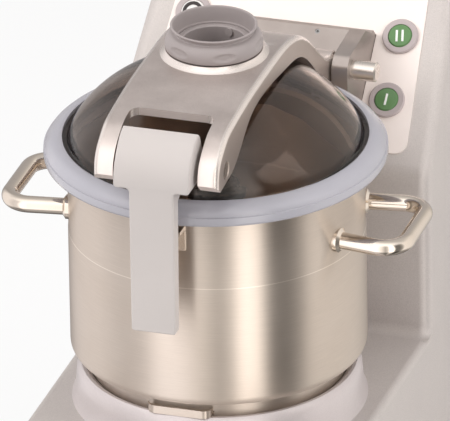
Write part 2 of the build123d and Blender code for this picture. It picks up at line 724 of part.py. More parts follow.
def seat_ring_screws():
    """The screws that draw the turret down from inside the base."""
    face = DECK_Z - WALL
    shank = disc(SEAT_SCREW_RADIUS, face - 1, DECK_Z + SEAT_SCREW_DEPTH)
    head = disc(SEAT_SCREW_RADIUS + 2, face - SEAT_SCREW_HEAD, face)
    screw = Pos(SEAT_SCREW_CIRCLE, 0, 0) * (shank + head)
    return AXIS * group(around(screw, SEAT_SCREWS))


def motor_flange():
    """The motor's upper end shield, bolted under the deck and carrying the upper bearing."""
    face = DECK_Z - WALL
    spigot = SEAT_BORE_RADIUS - SPIGOT_CLEARANCE
    spigot_top = face + SPIGOT_HEIGHT
    bearing_top = MOTOR_HIGH_Z + BEARING_HEIGHT
    form = turned([(BEARING_RADIUS, MOTOR_HIGH_Z), (MOTOR_FLANGE_RADIUS, MOTOR_HIGH_Z),
                   (MOTOR_FLANGE_RADIUS, face), (spigot, face), (spigot, spigot_top),
                   (SHAFT_SEAL_RADIUS, spigot_top), (SHAFT_SEAL_RADIUS, bearing_top),
                   (BEARING_RADIUS, bearing_top)])
    bolt = Pos(FLANGE_BOLT_CIRCLE, 0, 0) * disc(FLANGE_BOLT_RADIUS, MOTOR_HIGH_Z - 1, DECK_Z)
    for hole in around(bolt, FLANGE_BOLTS, 45):
        form -= hole
    return AXIS * form


def flange_bolts():
    """The bolts and nuts that hang the motor from the deck."""
    section = RegularPolygon(2 * FLANGE_BOLT_RADIUS, 6)
    shank = disc(FLANGE_BOLT_RADIUS, MOTOR_HIGH_Z, DECK_Z + FLANGE_BOLT_NUT + FLANGE_BOLT_END)
    head = extrude(Pos(0, 0, MOTOR_HIGH_Z - FLANGE_BOLT_HEAD) * section, amount=FLANGE_BOLT_HEAD)
    nut = extrude(Pos(0, 0, DECK_Z) * section, amount=FLANGE_BOLT_NUT)
    bolt = Pos(FLANGE_BOLT_CIRCLE, 0, 0) * (shank + head + nut)
    return AXIS * group(around(bolt, FLANGE_BOLTS, 45))


def motor_frame():
    """The motor's extruded frame with cooling fins all round."""
    section = Circle(MOTOR_RADIUS)
    fin = Pos(MOTOR_RADIUS + MOTOR_FIN_HEIGHT / 2 - 1, 0) * Rectangle(MOTOR_FIN_HEIGHT + 2, MOTOR_FIN_WIDTH)
    for one in around(fin, MOTOR_FINS):
        section += one
    section -= Circle(MOTOR_RADIUS - MOTOR_WALL)
    return AXIS * Pos(0, 0, MOTOR_LOW_Z) * extrude(section, amount=MOTOR_HIGH_Z - MOTOR_LOW_Z)


def stator_core():
    """The slotted lamination stack pressed into the motor frame."""
    section = Circle(MOTOR_RADIUS - MOTOR_WALL) - Circle(ROTOR_RADIUS + AIR_GAP)
    slot_middle = ROTOR_RADIUS + AIR_GAP + 2 + STATOR_SLOT_DEPTH / 2
    slot = Pos(slot_middle, 0) * Rectangle(STATOR_SLOT_DEPTH, STATOR_SLOT_WIDTH)
    for one in around(slot, STATOR_SLOTS):
        section -= one
    return AXIS * Pos(0, 0, STACK_LOW_Z) * extrude(section, amount=STACK_HIGH_Z - STACK_LOW_Z)


def windings():
    """The copper end turns above and below the stack."""
    inner = ROTOR_RADIUS + AIR_GAP + 4
    outer = MOTOR_RADIUS - MOTOR_WALL - 4
    low = STACK_HIGH_Z
    high = low + WINDING_REACH
    edge = 5
    upper = turned([(inner, low), (outer, low), (outer, high - edge), (outer - edge, high),
                    (inner + edge, high), (inner, high - edge)])
    lower = mirror(upper, Plane.XY.offset((STACK_HIGH_Z + STACK_LOW_Z) / 2))
    return AXIS * group([upper, lower])


def motor_end_shield():
    """The lower end shield with the lower bearing's seat and air windows."""
    low = MOTOR_LOW_Z - LOWER_BEARING_HEIGHT
    bore = LOWER_BEARING_RADIUS
    form = turned([(bore, low), (bore + MOTOR_WALL, low), (MOTOR_RADIUS, MOTOR_LOW_Z - MOTOR_WALL),
                   (MOTOR_RADIUS, MOTOR_LOW_Z), (bore, MOTOR_LOW_Z)])
    window = Pos(SHIELD_WINDOW_CIRCLE, 0, 0) * disc(SHIELD_WINDOW_RADIUS, 0, MOTOR_LOW_Z + 1)
    for hole in around(window, SHIELD_WINDOWS):
        form -= hole
    return AXIS * form


def bearings():
    """The sealed ball bearings at both ends of the motor."""
    bore = SHAFT_JOURNAL_RADIUS + BEARING_FIT
    lower_bore = LOWER_JOURNAL_RADIUS + BEARING_FIT
    upper = ring(bore, BEARING_RADIUS, MOTOR_HIGH_Z, MOTOR_HIGH_Z + BEARING_HEIGHT)
    groove = ring(SHAFT_JOURNAL_RADIUS + 4, BEARING_RADIUS - 4, MOTOR_HIGH_Z - 1, MOTOR_HIGH_Z + 1)
    lower = ring(lower_bore, LOWER_BEARING_RADIUS, MOTOR_LOW_Z - LOWER_BEARING_HEIGHT, MOTOR_LOW_Z)
    return AXIS * group([upper - groove, lower])


def shaft_seal():
    """The lip seal that keeps the wash water out of the motor."""
    low = MOTOR_HIGH_Z + BEARING_HEIGHT
    high = DECK_Z - WALL + SPIGOT_HEIGHT
    lip = SHAFT_JOURNAL_RADIUS + BEARING_FIT
    return AXIS * turned([(lip, low), (SHAFT_SEAL_RADIUS, low), (SHAFT_SEAL_RADIUS, high), (lip + 3, high),
                          (lip + 3, low + 3), (lip, low + 2)])


def motor_shaft():
    """The stepped motor shaft that rises through the bowl to its hexagonal drive."""
    hex_low = SHAFT_TOP_Z - HEX_LENGTH
    step = DECK_Z - WALL + SPIGOT_HEIGHT + SHAFT_STEP_RISE
    journal = LOWER_JOURNAL_RADIUS
    form = turned([(0, SHAFT_BOTTOM_Z), (journal, SHAFT_BOTTOM_Z), (journal, MOTOR_LOW_Z + 4),
                   (SHAFT_JOURNAL_RADIUS, MOTOR_LOW_Z + 8), (SHAFT_JOURNAL_RADIUS, step),
                   (SHAFT_RADIUS, step + 3), (SHAFT_RADIUS, hex_low), (0, hex_low)])
    drive = extrude(Pos(0, 0, hex_low) * RegularPolygon(SHAFT_HEX_WIDTH / 2, 6, major_radius=False),
                    amount=SHAFT_TOP_Z - hex_low)
    return AXIS * (form + drive)


def rotor_core():
    """The squirrel-cage rotor with its end rings."""
    form = ring(SHAFT_JOURNAL_RADIUS, ROTOR_RADIUS, STACK_LOW_Z, STACK_HIGH_Z)
    form += ring(ROTOR_RADIUS - 14, ROTOR_RADIUS - 3, STACK_LOW_Z - END_RING_HEIGHT,
                 STACK_HIGH_Z + END_RING_HEIGHT)
    return AXIS * form


def cooling_fan():
    """The fan under the motor, with straight paddles so that it cools either way."""
    low = SHAFT_BOTTOM_Z + 2
    high = MOTOR_LOW_Z - LOWER_BEARING_HEIGHT - FAN_CLEARANCE
    half = FAN_THICKNESS / 2
    form = ring(LOWER_JOURNAL_RADIUS, LOWER_JOURNAL_RADIUS + 6, low, high)
    form += ring(LOWER_JOURNAL_RADIUS + 1, FAN_RADIUS, high - FAN_THICKNESS, high)
    paddle = block((LOWER_JOURNAL_RADIUS + 3, -half, low), (FAN_RADIUS, half, high))
    for one in around(paddle, FAN_BLADES):
        form += one
    return AXIS * form


def bowl_shell():
    """The stainless bowl: a pressed shell with a step at mid height and a rolled rim."""
    bottom = BOWL_FLOOR_Z
    corner = BOWL_CORNER_RADIUS
    inner = BOWL_TOP_RADIUS - BOWL_WALL
    rim = BOWL_RIM_Z
    roll = BOWL_RIM_ROLL
    lip = rim - BOWL_RIM_LIP
    outline = [Line((BOWL_TUBE_RADIUS, bottom), (BOWL_RADIUS - corner, bottom)),
               RadiusArc((BOWL_RADIUS - corner, bottom), (BOWL_RADIUS, bottom + corner), -corner),
               Line((BOWL_RADIUS, bottom + corner), (BOWL_RADIUS, BOWL_SEAM_Z)),
               Line((BOWL_RADIUS, BOWL_SEAM_Z), (BOWL_TOP_RADIUS, BOWL_SEAM_Z + 0.6)),
               Line((BOWL_TOP_RADIUS, BOWL_SEAM_Z + 0.6), (BOWL_TOP_RADIUS, lip)),
               Line((BOWL_TOP_RADIUS, lip), (BOWL_RIM_RADIUS - roll, rim - 2 * roll)),
               RadiusArc((BOWL_RIM_RADIUS - roll, rim - 2 * roll), (BOWL_RIM_RADIUS - roll, rim), -roll),
               Line((BOWL_RIM_RADIUS - roll, rim), (inner, rim)),
               Line((inner, rim), (inner, bottom + corner)),
               RadiusArc((inner, bottom + corner), (inner - corner + BOWL_FLOOR, bottom + BOWL_FLOOR),
                         corner - BOWL_FLOOR),
               Line((inner - corner + BOWL_FLOOR, bottom + BOWL_FLOOR),
                    (BOWL_TUBE_RADIUS, bottom + BOWL_FLOOR)),
               Line((BOWL_TUBE_RADIUS, bottom + BOWL_FLOOR), (BOWL_TUBE_RADIUS, bottom))]
    return AXIS * revolve(Plane.XZ * make_face(outline), Axis.Z)


def bowl_tube():
    """The tube in the middle of the bowl that keeps its contents off the shaft."""
    inner = BOWL_TUBE_RADIUS - BOWL_TUBE_WALL
    return AXIS * turned([(inner, BOWL_FLOOR_Z), (BOWL_TUBE_RADIUS, BOWL_FLOOR_Z),
                          (BOWL_TUBE_RADIUS, BOWL_TUBE_TOP_Z - 1), (BOWL_TUBE_RADIUS - 1, BOWL_TUBE_TOP_Z),
                          (inner, BOWL_TUBE_TOP_Z)])


def bowl_skirt():
    """The ring under the bowl that drops into the turret, with a flange welded to the floor."""
    inner = SKIRT_RADIUS - SKIRT_WALL
    flange = inner - SKIRT_FLANGE
    return AXIS * turned([(inner, SEAT_WEB_Z), (SKIRT_RADIUS, SEAT_WEB_Z), (SKIRT_RADIUS, BOWL_FLOOR_Z),
                          (flange, BOWL_FLOOR_Z), (flange, BOWL_FLOOR_Z - SKIRT_WALL),
                          (inner, BOWL_FLOOR_Z - SKIRT_WALL)])


def bowl_tab():
    """The stainless tab at the front of the skirt, resting on the turret's edge."""
    low = SEAT_TOP_Z
    half = TAB_HALF_WIDTH
    root = 10 - SKIRT_RADIUS
    outline = make_face(Polyline((-half, -TAB_REACH), (half, -TAB_REACH), (half, root), (-half, root),
                                 close=True))
    outline = fillet(outline.vertices().group_by(Axis.Y)[0], TAB_CORNER_RADIUS)
    tab = Pos(0, 0, low) * extrude(outline, amount=TAB_THICKNESS)
    lip = Pos(0, 0, low) * extrude(outline, amount=TAB_LIP_HEIGHT)
    lip -= Pos(0, TAB_LIP_THICKNESS, low - 1) * extrude(outline, amount=2 * TAB_LIP_HEIGHT)
    back = block((-half - 1, TAB_CORNER_RADIUS - TAB_REACH, low - 1),
                 (half + 1, 0, low + 2 * TAB_LIP_HEIGHT))
    tab += lip - back
    tab -= disc(SKIRT_RADIUS, low - 1, low + 2 * TAB_LIP_HEIGHT)
    return AXIS * tab


def handle_path():
    """The right handle's path in the bowl's own plan, from wall to wall."""
    root = math.radians(HANDLE_ROOT_ANGLE)
    wall = BOWL_TOP_RADIUS
    start_x = (wall - 4) * math.cos(root)
    start_y = (wall - 4) * math.sin(root)
    corner_y = start_y + (HANDLE_REACH - start_x) * math.tan(math.radians(HANDLE_SPLAY))
    return FilletPolyline((start_x, -start_y, HANDLE_Z), (HANDLE_REACH, -corner_y, HANDLE_Z),
                          (HANDLE_REACH, corner_y, HANDLE_Z), (start_x, start_y, HANDLE_Z),
                          radius=HANDLE_BEND_RADIUS)


def bowl_handles():
    """The two bent tube handles of the bowl."""
    path = handle_path()
    section = Plane(origin=path @ 0, z_dir=path % 0) * Circle(HANDLE_TUBE_RADIUS)
    handle = sweep(section, path=path)
    handle -= disc(BOWL_TOP_RADIUS, HANDLE_Z - 20, HANDLE_Z + 20)
    return AXIS * group([handle, mirror(handle, Plane.YZ)])


def handle_collars():
    """The flared collars where the handles meet the bowl's wall."""
    path = handle_path()
    collars = []
    for end in (0, 1):
        direction = path % end
        outward = direction if end == 0 else direction * -1
        place = Plane(origin=path @ end, z_dir=outward)
        flare = turned([(HANDLE_TUBE_RADIUS, 0), (HANDLE_COLLAR_RADIUS, 0),
                        (HANDLE_COLLAR_RADIUS, 4 + 0.4 * HANDLE_COLLAR_HEIGHT),
                        (HANDLE_TUBE_RADIUS + 0.6, 4 + HANDLE_COLLAR_HEIGHT),
                        (HANDLE_TUBE_RADIUS, 4 + HANDLE_COLLAR_HEIGHT)])
        collar = place * flare - disc(BOWL_TOP_RADIUS, HANDLE_Z - 20, HANDLE_Z + 20)
        collars += [collar, mirror(collar, Plane.YZ)]
    return AXIS * group(collars)


def latch_keeper():
    """The catch on the bowl's front wall that the lever's hook holds under."""
    wall = -BOWL_TOP_RADIUS
    profile = [(wall + 6, KEEPER_Z - 26), (wall - 3, KEEPER_Z - 26), (wall - 3, KEEPER_Z - KEEPER_LIP),
               (wall - KEEPER_REACH, KEEPER_Z - KEEPER_LIP), (wall - KEEPER_REACH, KEEPER_Z),
               (wall + 6, KEEPER_Z)]
    keeper = side_cut(profile, KEEPER_HALF_WIDTH) - disc(BOWL_TOP_RADIUS, KEEPER_Z - 40, KEEPER_Z + 10)
    return AXIS * keeper


def blade_hub():
    """The blade hub: a tapered sleeve over the bowl's tube, driven at its top."""
    bore = BOWL_TUBE_RADIUS + HUB_CLEARANCE
    roof = BOWL_TUBE_TOP_Z + HUB_ROOF
    foot_top = LOWER_BLADE_Z + BLADE_RISE + 14
    hub = turned([(bore, HUB_FOOT_Z), (HUB_FOOT_RADIUS, HUB_FOOT_Z), (HUB_FOOT_RADIUS, foot_top),
                  (HUB_FOOT_RADIUS - 4, foot_top + 8), (HUB_NECK_RADIUS, HUB_TOP_Z - 40),
                  (HUB_NECK_RADIUS, HUB_TOP_Z - 3), (HUB_NECK_RADIUS - 3, HUB_TOP_Z), (0, HUB_TOP_Z),
                  (0, roof), (bore, roof)])
    hub -= disc(SHAFT_RADIUS, roof - 1, SHAFT_TOP_Z - HEX_LENGTH)
    hub -= extrude(Pos(0, 0, roof - 1) * RegularPolygon(SHAFT_HEX_WIDTH / 2, 6, major_radius=False),
                   amount=SHAFT_TOP_Z - roof + 1)
    return AXIS * hub


def sickle(height, turn):
    """One curved blade with its eye around the hub and a ground outer edge."""
    tip = math.radians(BLADE_TIP_ANGLE)
    back = math.radians(BLADE_BACK_ANGLE)
    reach = BLADE_REACH
    hollow = reach * BLADE_BACK_SHARE
    eye = BLADE_EYE_RADIUS
    outer = ThreePointArc((eye * 0.72, -eye * 0.66), (reach * 0.72, reach * 0.16),
                          (reach * math.cos(tip), reach * math.sin(tip)))
    nose = Line(outer @ 1, (0.9 * reach * math.cos(tip + 0.06), 0.9 * reach * math.sin(tip + 0.06)))
    inner = ThreePointArc(nose @ 1, (hollow * math.cos(back) + 8, hollow * math.sin(back)),
                          (-eye * 0.6, eye * 0.6))
    close = Line(inner @ 1, outer @ 0)
    outline = make_face([outer, nose, inner, close]) + Circle(eye)
    outline -= Circle(HUB_FOOT_RADIUS)
    blade = extrude(outline, amount=BLADE_THICKNESS)
    upper = near(blade, (0, -2 * reach, BLADE_THICKNESS - 0.1),
                 (2 * reach, 2 * reach, BLADE_THICKNESS + 0.1))
    edge = [one for one in upper if one.length > reach and one.center().X > reach * 0.4]
    blade = chamfer(edge, BLADE_THICKNESS * BLADE_GROUND_SHARE, BLADE_THICKNESS * 1.6)
    return AXIS * Pos(0, 0, height) * Rot(0, 0, turn) * blade


def blades():
    """The two blades, opposite each other at two heights."""
    return group([sickle(LOWER_BLADE_Z, 0), sickle(LOWER_BLADE_Z + BLADE_RISE, 180)])


def blade_cap():
    """The cap screwed on the hub's top to lift the blades out by."""
    cap = turned([(0, HUB_TOP_Z), (CAP_RADIUS - 4, HUB_TOP_Z), (CAP_RADIUS, HUB_TOP_Z + 4),
                  (CAP_RADIUS, HUB_TOP_Z + CAP_HEIGHT - 3), (CAP_RADIUS - 4, HUB_TOP_Z + CAP_HEIGHT),
                  (0, HUB_TOP_Z + CAP_HEIGHT)])
    grip = disc(CAP_GRIP_RADIUS, HUB_TOP_Z - 1, HUB_TOP_Z + CAP_HEIGHT + 1)
    for groove in around(Pos(CAP_RADIUS + CAP_GRIP_RADIUS / 2, 0, 0) * grip, CAP_GRIPS):
        cap -= groove
    return AXIS * cap


def bracket_ear(side):
    """One ear of the hinge bracket, from the console to a nose around the pin."""
    foot = slope_point(BRACKET_LOW)
    top = slope_point(BRACKET_HIGH)
    nose = EAR_NOSE_RADIUS
    outline = Polyline(foot, (HINGE_Y - nose, HINGE_Z - nose), (HINGE_Y - nose, HINGE_Z + nose * 0.5),
                       (HINGE_Y - nose * 0.5, HINGE_Z + nose), (HINGE_Y + 44, HINGE_Z + nose + 3), top,
                       close=True)
    face = make_face(outline)
    rounded = [v for v in face.vertices() if v.Y < HINGE_Z + nose + 1 and v.X < HINGE_Y]
    face = fillet(rounded, nose * 0.4)
    start = side * EAR_INNER_X
    ear = extrude(Plane.YZ.offset(start) * face, amount=side * EAR_THICKNESS)
    return ear


def hinge_bracket():
    """The cast bracket bolted to the console, with two ears for the hinge pin."""
    half = EAR_INNER_X + EAR_THICKNESS
    middle = (BRACKET_LOW + BRACKET_HIGH) / 2
    base = SLOPE * extrude(Pos(0, middle) * Rectangle(2 * half, BRACKET_HIGH - BRACKET_LOW),
                           amount=BRACKET_THICKNESS)
    crest_y, crest_z = slope_point(BRACKET_HIGH, BRACKET_THICKNESS)
    crest = near(base, (-1, crest_y - 1, crest_z - 1), (1, crest_y + 1, crest_z + 1))
    base = chamfer(crest, BRACKET_CHAMFER)
    form = base + bracket_ear(1) + bracket_ear(-1)
    form -= Pos(0, HINGE_Y, HINGE_Z) * rod(HINGE_PIN_RADIUS, -half - 1, half + 1)
    for place_x, length in bracket_bolt_places():
        hole = disc(BRACKET_BOLT_RADIUS, -1, BRACKET_THICKNESS - BRACKET_BOLT_COVER)
        form -= on_slope(hole, place_x, length)
    low = BRACKET_THICKNESS - GRUB_DEPTH - GRUB_LENGTH
    form -= on_slope(disc(GRUB_RADIUS, low, BRACKET_THICKNESS + 1), *grub_place())
    return form


def grub_place():
    """The grub screw's place across and up the console."""
    return (GRUB_X, BRACKET_HIGH - GRUB_INSET)


def grub_screw():
    """The socket set screw in the bracket's face."""
    high = BRACKET_THICKNESS - GRUB_DEPTH
    form = disc(GRUB_RADIUS, high - GRUB_LENGTH, high)
    form -= extrude(Pos(0, 0, high - GRUB_RADIUS) * RegularPolygon(GRUB_RADIUS * 0.54, 6), amount=4)
    return on_slope(form, *grub_place())


def bracket_bolts():
    """The four bolts that hold the bracket from inside the console."""
    shank = disc(BRACKET_BOLT_RADIUS, -WALL - 1, BRACKET_THICKNESS - BRACKET_BOLT_COVER)
    section = RegularPolygon(2 * BRACKET_BOLT_RADIUS, 6)
    head = extrude(Pos(0, 0, -WALL - BRACKET_BOLT_HEAD) * section, amount=BRACKET_BOLT_HEAD)
    bolt = shank + head
    return group([on_slope(bolt, place_x, length) for place_x, length in bracket_bolt_places()])


def hinge_pin():
    """The lid's hinge pin, with its round head outside the right ear."""
    end = EAR_INNER_X + EAR_THICKNESS
    pin = rod(HINGE_PIN_RADIUS, -end - 1, end)
    pin += rod(HINGE_PIN_RADIUS + 0.6, end, end + PIN_COLLAR)
    head = rod(PIN_HEAD_RADIUS, end + PIN_COLLAR, end + PIN_COLLAR + PIN_HEAD_LENGTH)
    head = chamfer(head.edges().group_by(Axis.X)[-1], PIN_HEAD_CHAMFER)
    return Pos(0, HINGE_Y, HINGE_Z) * (pin + head)


def hinge_bushes():
    """The two flanged bushes in the arm's hinge barrel."""
    bore = HINGE_PIN_RADIUS + HINGE_RUNNING_FIT
    end = ARM_HALF_WIDTH
    bush = rod(HINGE_PIN_RADIUS + BUSH_WALL, end - BUSH_LENGTH, end)
    bush += rod(BUSH_FLANGE_RADIUS, end, end + BUSH_FLANGE)
    bush -= rod(bore, 0, end + 10)
    return Pos(0, HINGE_Y, HINGE_Z) * group([bush, mirror(bush, Plane.YZ)])


def magnet_place():
    """The lid magnet's place, in the barrel's side that faces the console."""
    return Plane(origin=(GRUB_X, HINGE_Y, HINGE_Z), z_dir=(0, SLOPE_COS, -SLOPE_SIN))


def lid_magnet():
    """The magnet in the hinge barrel that works the lid switch."""
    return magnet_place() * disc(MAGNET_RADIUS, BARREL_RADIUS - MAGNET_DEPTH, BARREL_RADIUS - 0.4)


def lid_switch():
    """The magnetic switch inside the console, behind the bracket."""
    half = LID_SWITCH_WIDTH / 2
    low = BRACKET_LOW + LID_SWITCH_OFFSET
    return SLOPE * block((GRUB_X - half, low, -WALL - LID_SWITCH_DEPTH),
                         (GRUB_X + half, low + LID_SWITCH_LENGTH, -WALL))


def arm_side_outline():
    """The arm's side view: a curved beak in front, a flat back and a slope down to the hinge."""
    top = ARM_TOP_Z
    low = PRONG_LOW_Z
    front = BOWL_Y - COLLAR_FOOT_RADIUS
    rear = BOWL_Y + COLLAR_FOOT_RADIUS
    tip = (ARM_FRONT_Y, low + 6)
    beak = Spline(tip, (ARM_FRONT_Y + 6, top - 28), (ARM_FRONT_Y + 26, top - 13), (WINDOW_BACK_Y, top - 4.4),
                  tangents=((0, 1), (1, 0.1)))
    back = Spline(beak @ 1, (front - 29, top - 1), (BOWL_Y - 6, top), (rear - 16, top - 2),
                  (rear + 26, top - 13), (HINGE_Y - 69, top - 36), (HINGE_Y - 35, top - 65),
                  (HINGE_Y, HINGE_Z + BARREL_RADIUS), tangents=((1, 0.1), (1, 0)))
    chin = (HINGE_Y - 0.8 * BARREL_RADIUS, HINGE_Z - 0.6 * BARREL_RADIUS)
    hinge = Polyline(back @ 1, (HINGE_Y, HINGE_Z), chin)
    belly = Spline(chin, (HINGE_Y - 23, top - 98), (HINGE_Y - 35, top - 88), (HINGE_Y - 53, top - 76.5),
                   (HINGE_Y - 79, top - 54), (rear + 20, top - 33), (rear - 26, top - 24),
                   (front + 9, top - 17.5), (front - 32, top - 24), (front - 60, top - 40),
                   (front - 90, low + 1))
    sole = Polyline(belly @ 1, (ARM_FRONT_Y + 8, low - 2), tip)
    return make_face([beak, back, hinge, belly, sole])


def arm_hollow():
    """The space under the arm's plate, between its side flanges."""
    top = ARM_TOP_Z
    flat = top - ARM_PLATE
    front = WINDOW_BACK_Y - WINDOW_CORNER_RADIUS
    roof = Spline((front, flat - 5), (BOWL_Y - 85, flat - 1), (BOWL_Y - 40, flat - 0.4),
                  tangents=((1, 0.2), (1, 0)))
    level = Line(roof @ 1, (BOWL_Y + 32, flat - 0.4))
    drop = Spline(level @ 1, (BOWL_Y + 79, top - 22), (HINGE_Y - 74, top - 44), (HINGE_Y - 43, top - 72),
                  (HINGE_Y - BARREL_RADIUS - 4.5, HINGE_Z + 8), tangents=((1, 0), (1, -0.9)))
    low = HINGE_Z - 60
    close = Polyline(drop @ 1, ((drop @ 1).X, low), (front, low), roof @ 0)
    return across(make_face([roof, level, drop, close]), ARM_HALF_WIDTH - ARM_FLANGE)


def collar_form():
    """The raised collar around the feed knob and the boss that carries the dome."""
    bore = WIPER_TUBE_RADIUS + WIPER_BUSH_WALL
    top = ARM_TOP_Z
    foot = COLLAR_FOOT_RADIUS
    return AXIS * turned([(bore, DOME_TOP_Z), (foot, DOME_TOP_Z), (foot, top - 3),
                          (COLLAR_RADIUS + 4, top + 0.8), (COLLAR_RADIUS + 1, COLLAR_TOP_Z - 2),
                          (COLLAR_RADIUS, COLLAR_TOP_Z), (bore, COLLAR_TOP_Z)])


def lid_arm():
    """The cast lid arm: a flanged plate with two prongs, a collar and a hinge barrel."""
    form = across(arm_side_outline(), ARM_HALF_WIDTH)
    side_edges = [edge for edge in form.edges() if abs(edge.center().X) > ARM_HALF_WIDTH - 1]
    long_edges = [edge for edge in side_edges if edge.length > 4 * ARM_PLATE]
    upper_edges = [edge for edge in long_edges if edge.center().Z > ARM_TOP_Z - 20]
    form = fillet(upper_edges, ARM_EDGE_RADIUS)
    barrel_half = ARM_HALF_WIDTH - 2
    barrel = Pos(0, HINGE_Y, HINGE_Z) * rod(BARREL_RADIUS, -barrel_half, barrel_half)
    form += chamfer(barrel.edges(), 1)
    form -= arm_hollow()
    half = WINDOW_HALF_WIDTH
    front = ARM_FRONT_Y - 20
    window = make_face(Polyline((-half, front), (half, front), (half, WINDOW_BACK_Y), (-half, WINDOW_BACK_Y),
                                close=True))
    window = fillet(window.vertices().group_by(Axis.Y)[-1], WINDOW_CORNER_RADIUS)
    form -= Pos(0, 0, PRONG_LOW_Z - 20) * extrude(window, amount=2 * (ARM_TOP_Z - PRONG_LOW_Z))
    form += collar_form()
    form -= AXIS * disc(WIPER_TUBE_RADIUS + WIPER_BUSH_WALL, DOME_TOP_Z - 1, COLLAR_TOP_Z + 1)
    for screw in clamp_screw_holes(0, DOME_TOP_Z + CLAMP_SCREW_DEPTH):
        form -= AXIS * screw
    pivot = Pos(0, LATCH_PIVOT_Y, LATCH_PIVOT_Z)
    form -= pivot * rod(LATCH_PIN_RADIUS, -ARM_HALF_WIDTH - 1, ARM_HALF_WIDTH + 1)
    for side in (-1, 1):
        recess = rod(LATCH_PIN_HEAD_RADIUS, ARM_HALF_WIDTH - LATCH_PIN_RECESS, ARM_HALF_WIDTH + 1)
        form -= pivot * (recess if side == 1 else mirror(recess, Plane.YZ))
    bush_bore = rod(HINGE_PIN_RADIUS + BUSH_WALL, -ARM_HALF_WIDTH - 1, ARM_HALF_WIDTH + 1)
    form -= Pos(0, HINGE_Y, HINGE_Z) * bush_bore
    form -= magnet_place() * disc(MAGNET_RADIUS, BARREL_RADIUS - MAGNET_DEPTH, BARREL_RADIUS + 4)
    return form


def clamp_screw_holes(low, high):
    """Holes for the screws that hold the dome, between two heights."""
    hole = Pos(CLAMP_SCREW_CIRCLE, 0, 0) * disc(CLAMP_SCREW_RADIUS, low, high)
    return around(hole, CLAMP_SCREWS, 45)


def latch_pin():
    """The lever's pivot pin, with a shallow head in each prong's recess."""
    pin = rod(LATCH_PIN_RADIUS, -ARM_HALF_WIDTH + LATCH_PIN_RECESS, ARM_HALF_WIDTH - LATCH_PIN_RECESS)
    head = rod(LATCH_PIN_HEAD_RADIUS - 0.4, ARM_HALF_WIDTH - LATCH_PIN_RECESS, ARM_HALF_WIDTH - 0.6)
    pin += head + mirror(head, Plane.YZ)
    return Pos(0, LATCH_PIVOT_Y, LATCH_PIVOT_Z) * pin


def dome():
    """The clear dome: a shallow cap with a rounded shoulder and a flat flange."""
    t = DOME_THICKNESS
    top = DOME_TOP_Z
    hole = WIPER_TUBE_RADIUS + WIPER_BUSH_WALL
    flat = DOME_FLAT_RADIUS
    shoulder = DOME_SHOULDER_RADIUS
    level = DOME_SHOULDER_Z
    flange = DOME_FLANGE_Z + t
    rise = top - level
    outer_cap = ThreePointArc((flat, top), (flat + (shoulder - flat) * 0.58, top - rise * 0.33),
                              (shoulder, level))
    outer_foot = Spline(outer_cap @ 1, (shoulder + 2.6, flange + 3.5), (shoulder + 7, flange),
                        tangents=(outer_cap % 1, (1, 0)))
    inner_cap = ThreePointArc((flat, top - t), (flat + (shoulder - t - flat) * 0.58, top - t - rise * 0.34),
                              (shoulder - t, level - 0.6 * t))
    outline = [Line((hole, top), (flat, top)), outer_cap, outer_foot,
               Line(outer_foot @ 1, (DOME_FLANGE_RADIUS, flange)),
               Line((DOME_FLANGE_RADIUS, flange), (DOME_FLANGE_RADIUS, flange - t)),
               Line((DOME_FLANGE_RADIUS, flange - t), (shoulder - 1, flange - t)),
               Line((shoulder - 1, flange - t), inner_cap @ 1), inner_cap,
               Line((flat, top - t), (hole, top - t)), Line((hole, top - t), (hole, top))]
    form = revolve(Plane.XZ * make_face(outline), Axis.Z)
    for screw in clamp_screw_holes(top - 2 * t, top + 1):
        form -= screw
    return AXIS * form


def dome_clamp():
    """The ring that clamps the dome up against the arm's boss."""
    high = DOME_TOP_Z - DOME_THICKNESS
    form = ring(WIPER_TUBE_RADIUS + WIPER_BUSH_WALL, CLAMP_RADIUS, high - CLAMP_THICKNESS, high)
    for screw in clamp_screw_holes(high - CLAMP_THICKNESS - 1, high + 1):
        form -= screw
    return AXIS * form


def dome_screws():
    """The four screws through the clamp ring and the dome into the boss."""
    low = DOME_TOP_Z - DOME_THICKNESS - CLAMP_THICKNESS
    shank = disc(CLAMP_SCREW_RADIUS, low, DOME_TOP_Z + CLAMP_SCREW_DEPTH)
    head = disc(2 * CLAMP_SCREW_RADIUS, low - CLAMP_SCREW_HEAD, low)
    return AXIS * group(around(Pos(CLAMP_SCREW_CIRCLE, 0, 0) * (shank + head), CLAMP_SCREWS, 45))


def lid_seal():
    """The soft sealing ring around the dome's flange, over the bowl's rim."""
    low = BOWL_RIM_Z + SEAL_GAP
    slot = DOME_FLANGE_RADIUS
    slot_low = DOME_FLANGE_Z
    slot_high = DOME_FLANGE_Z + DOME_THICKNESS
    outer = SEAL_RADIUS
    points = [(SEAL_INNER_RADIUS, low + 1.5), (SEAL_INNER_RADIUS + 2, low), (outer - 3, low),
              (outer - 0.6, low + 1.2), (outer, low + 3.4), (outer - 0.4, low + 9.5),
              (outer - 1.8, low + 10), (outer - 2, low + 10.8), (outer - 4, low + 14.5),
              (outer - 8, low + 18), (SEAL_INNER_RADIUS + 9, SEAL_TOP_Z),
              (SEAL_INNER_RADIUS + 6, SEAL_TOP_Z - 0.6),
              (SEAL_INNER_RADIUS + 5.5, slot_high), (slot, slot_high), (slot, slot_low),
              (SEAL_INNER_RADIUS, slot_low)]
    return AXIS * turned(points)


def wiper_bush():
    """The plain bearing between the arm's collar and the wiper's tube."""
    bore = WIPER_TUBE_RADIUS + WIPER_RUNNING_FIT
    outer = WIPER_TUBE_RADIUS + WIPER_BUSH_WALL
    low = DOME_TOP_Z - DOME_THICKNESS - CLAMP_THICKNESS
    return AXIS * ring(bore, outer, low, COLLAR_TOP_Z)


